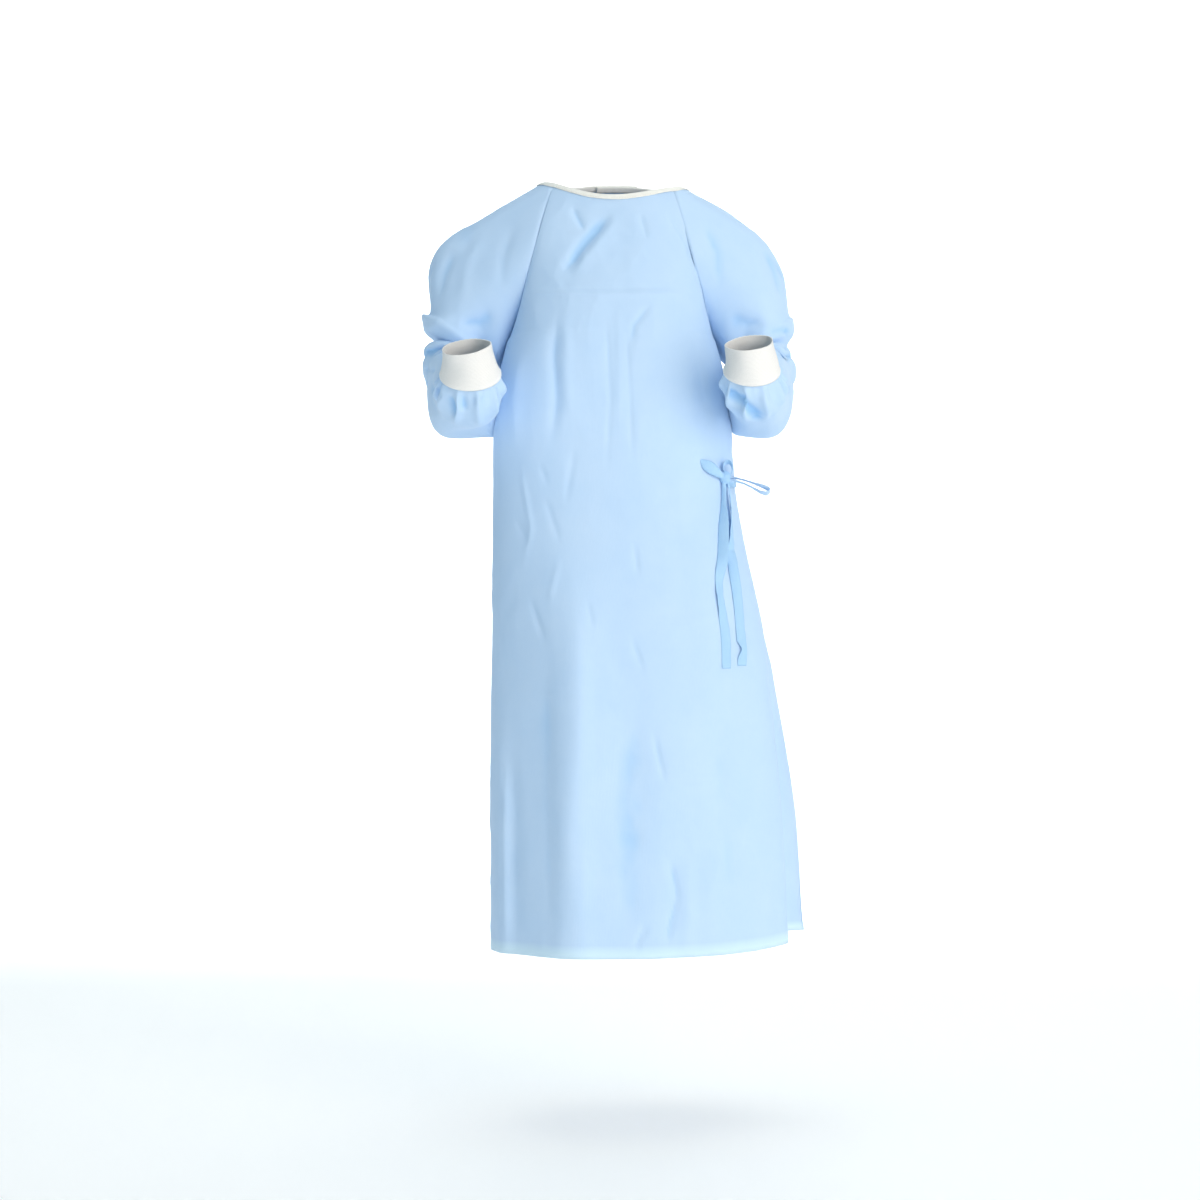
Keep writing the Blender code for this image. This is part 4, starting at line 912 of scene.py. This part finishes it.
for name, info in bows.items():
    rows = smoothRows(info["rows"], angle=4)
    tilt = np.radians(rows[:, 4])
    across = np.stack([0 * tilt, -np.cos(tilt), np.sin(tilt)], axis=1)
    tapeSheet(name, info, rows[:, :3] + knotMiddle, across, rows[:, 3], rows[:, 5], ripple=0.00015)

# the short tape sewn to the front: a leaf that stands off the cloth and runs into the knot
leaf = {"node": "tie_front", "flat": (0.017, 0.040), "rows": [
        (132.5, -432, 3, 6, 0, 0.3), (135.8, -435.8, 11, 8, 0.4, 1.6), (140, -440, 16.5, 12, 1.4, 2.8),
        (145.5, -444.5, 17.5, 16, 2.8, 3.4), (151, -449, 15, 20, 4, 3), (156, -453, 11.5, 24, 5, 2.4),
        (160, -456.2, 8.5, 26, 5.6, 1.8), (163, -458, 7, 24, 6, 1.4)]}
tapeSheet("frontTape", leaf, *alongFront(leaf["rows"], slant=(0.6, 0.8)))

# the knot's middle: half sizes, pinch at the waist, pleats round it and how deep they are
knot = {"half": (0.0088, 0.0064, 0.0098), "pinch": 0.20, "pleats": 7, "pleat": 0.00055,
        # wraps of tape round it: turn about the line of sight in degrees, share of the knot's size
        "wraps": {"knotWrapAcross": (24, 1.05), "knotWrapDown": (-62, 1.02)}, "wrapFlat": (0.0100, 0.052)}
bpy.ops.object.select_all(action="DESELECT")
bpy.ops.mesh.primitive_uv_sphere_add(segments=48, ring_count=28, radius=1, location=(0, 0, 0))
core = bpy.context.object
core.name = "knotCore"
for v in core.data.vertices:
    waist = 1 - knot["pinch"] * math.exp(-(v.co.z / 0.30) ** 2)
    angle = math.atan2(v.co.y, v.co.x)
    side = 1 + knot["pleat"] / 0.008 * math.sin(angle * knot["pleats"] + v.co.z * 2.5) * (1 - v.co.z**2)
    grow = np.array([waist * side, waist * side, 1])
    v.co = Vector(knotMiddle + np.array(v.co[:]) * np.array(knot["half"]) * grow)
core.data.shade_smooth()
coreMap = core.data.uv_layers[0]
coreMap.name = "cloth"
for loop in coreMap.data:
    loop.uv *= 0.04
finish(core, "tie_knot", blueTape)
for name, (turn, grow) in knot["wraps"].items():
    turn = math.radians(turn)
    angles = np.linspace(0, 2 * math.pi, 49)[:-1]
    run = np.array([math.cos(turn), 0, math.sin(turn)])
    side = np.array([-math.sin(turn), 0, math.cos(turn)])
    share = np.linspace(-1, 1, 9)
    ring = []
    half = np.array(knot["half"]) * grow
    for a in angles:
        ray = run * math.cos(a) + np.array([0, -1, 0]) * math.sin(a)
        reach = 1 / np.linalg.norm(ray / half)
        bowOut = 1 - 0.10 * share**2
        folded = 1 + 0.02 * np.sin(share * 5 + a * 3)
        wide = knot["wrapFlat"][0] * (0.62 + 0.23 * abs(math.sin(a)))
        ring.append(knotMiddle + np.outer(reach * bowOut * folded, ray) + np.outer(share * wide / 2, side))
    grid = np.array(ring).transpose(1, 0, 2)
    clothPiece(name, grid, outward(grid, True), tape["wall"], None, blueTape, "tape", closed=True)

# belt and neck tab follow their own nodes, with pressed edges
straps = {
    "beltTape": {
        "node": "belt_side", "corner": (0.1722, -0.0969, -0.4555), "toward": (0.1730, -0.0973, -0.4723),
        "flat": (0.017, 0.20), "held": "hung"},
    "neckTabCloth": {
        "node": "neck_tab", "corner": (0.0124, 0.0907, 0.0), "toward": (0.0133, 0.0993, -0.0188),
        "flat": (0.02, 0.055), "held": "laid"},
}
for name, info in straps.items():
    bm = outerFace(info["node"], lambda p: (0, 0, p.z), solidWall["tape"])
    grid = rowsOf(bm, info["corner"], info["toward"], False)
    grid = finer(finer(grid, 6, 0), 6, 1)
    normals = outward(grid, False)
    share = np.linspace(-1, 1, grid.shape[1])[None, :]
    run = np.arange(len(grid))[:, None]
    proud = 0.0004 * (1 - share**2) + 0.0002 * np.sin(run * 0.35 + 2 * share) * (1 - share**2)
    clothPiece(name, grid + normals * proud[..., None], normals, tape["wall"], info["node"], blueTape, "tape")

# light, floor and camera

studio = {
    "floor": -1.46, "floorSize": (60, 10), "wallHeight": 6, "bend": 2.0,
    "pale": (0.92, 0.92, 0.92), "glow": 0.18, "seen": (0.96, 0.965, 0.97, 1),
    "air": (0.66, 0.89, 1.0, 1), "airStrength": 0.40,
    # the lamps: place, size, power, colour, and what they are aimed at
    "lamps": {
        "keyLight": ((3.4, -5.5, 0.5), 5.8, 296.0, (1.0, 0.89, 0.80), (0, 0, -0.6)),
        "fillLight": ((-4.5, 0.5, -0.4), 2.0, 9.0, (1.0, 0.96, 0.92), (0, 0, -0.6)),
        "topLight": ((0.2, -0.2, 3.8), 5.0, 66.0, (1.0, 0.98, 0.94), (0, 0, -0.6)),
        "rimLight": ((2.4, 3.0, 1.2), 1.8, 8.0, (1.0, 0.98, 0.94), (0, 0, -0.6)),
        "wallLight": ((0.0, 3.2, 1.4), 3.6, 96.0, (1.0, 1.0, 0.99), (0, 5.2, 0.3)),
    },
}
view = {"place": (-0.0203, -4.5, -0.6443), "lens": 86.54, "sensor": 36}


def lamp(name, spot, size, power, colour, aim):
    data = bpy.data.lights.new(name, "AREA")
    data.shape = "DISK"
    data.size = size
    data.energy = power
    data.color = colour
    lit = bpy.data.objects.new(name, data)
    lit.location = spot
    lit.rotation_euler = (Vector(aim) - Vector(spot)).to_track_quat("-Z", "Y").to_euler()
    lit.visible_camera = False
    bpy.context.scene.collection.objects.link(lit)


bpy.ops.mesh.primitive_plane_add(size=1, location=(0, 0, studio["floor"]))
floor = bpy.context.object
floor.name = "floor"
floor.scale = (*studio["floorSize"], 1)
bpy.ops.object.transform_apply(location=True, rotation=True, scale=True)
bpy.ops.object.mode_set(mode="EDIT")
bpy.ops.mesh.select_mode(type="EDGE")
bpy.ops.mesh.select_all(action="DESELECT")
bpy.ops.object.mode_set(mode="OBJECT")
# the far edge goes up as a wall, and the corner between the two is rounded
for edge in floor.data.edges:
    edge.select = all(floor.data.vertices[v].co.y > 4 for v in edge.vertices)
bpy.ops.object.mode_set(mode="EDIT")
bpy.ops.mesh.extrude_region_move(TRANSFORM_OT_translate={"value": (0, 0, studio["wallHeight"])})
bpy.ops.mesh.select_all(action="DESELECT")
bpy.ops.object.mode_set(mode="OBJECT")
for edge in floor.data.edges:
    ends = [floor.data.vertices[i].co for i in edge.vertices]
    edge.select = all(p.y > 4 and p.z < studio["floor"] + 0.1 for p in ends)
bpy.ops.object.mode_set(mode="EDIT")
bpy.ops.mesh.bevel(offset=studio["bend"], segments=14, affect="EDGES")
bpy.ops.object.mode_set(mode="OBJECT")
floor.data.shade_smooth()
paleFloor = bpy.data.materials.new("paleFloor")
paleFloor.use_nodes = True
paint = paleFloor.node_tree.nodes["Principled BSDF"]
paint.inputs["Base Color"].default_value = (*studio["pale"], 1)
paint.inputs["Roughness"].default_value = 0.7
paint.inputs["Emission Color"].default_value = (1, 1, 1, 1)
paint.inputs["Emission Strength"].default_value = studio["glow"]
floor.data.materials.append(paleFloor)

for name, settings in studio["lamps"].items():
    lamp(name, *settings)
world = bpy.data.worlds.new("studioAir")
world.use_nodes = True
air = world.node_tree
lighting = air.nodes["Background"]
lighting.inputs[0].default_value = studio["air"]
lighting.inputs[1].default_value = studio["airStrength"]
backdrop = place(air, "ShaderNodeBackground", in_0=studio["seen"], in_1=1.0)
ray = place(air, "ShaderNodeLightPath")
both = place(air, "ShaderNodeMixShader",
             [(0, ray.outputs["Is Camera Ray"]), (1, lighting.outputs[0]), (2, backdrop.outputs[0])])
air.links.new(both.outputs[0], air.nodes["World Output"].inputs[0])
bpy.context.scene.world = world
bpy.context.scene.view_settings.view_transform = "Standard"
print("studio ready")

cameraData = bpy.data.cameras.new("camera")
cameraData.sensor_width = view["sensor"]
cameraData.lens = view["lens"]
camera = bpy.data.objects.new("camera", cameraData)
camera.location = view["place"]
camera.rotation_euler = (math.radians(90), 0, 0)
bpy.context.scene.collection.objects.link(camera)
bpy.context.scene.camera = camera

# the pieces' tables are run through here, and nothing is done with them
for name, info in {**panels, **sleeves}.items():
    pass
for name, info in cuffs.items():
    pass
for name, info in {**hangingEnds, **straps, "frontTape": leaf}.items():
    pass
for name, info in bows.items():
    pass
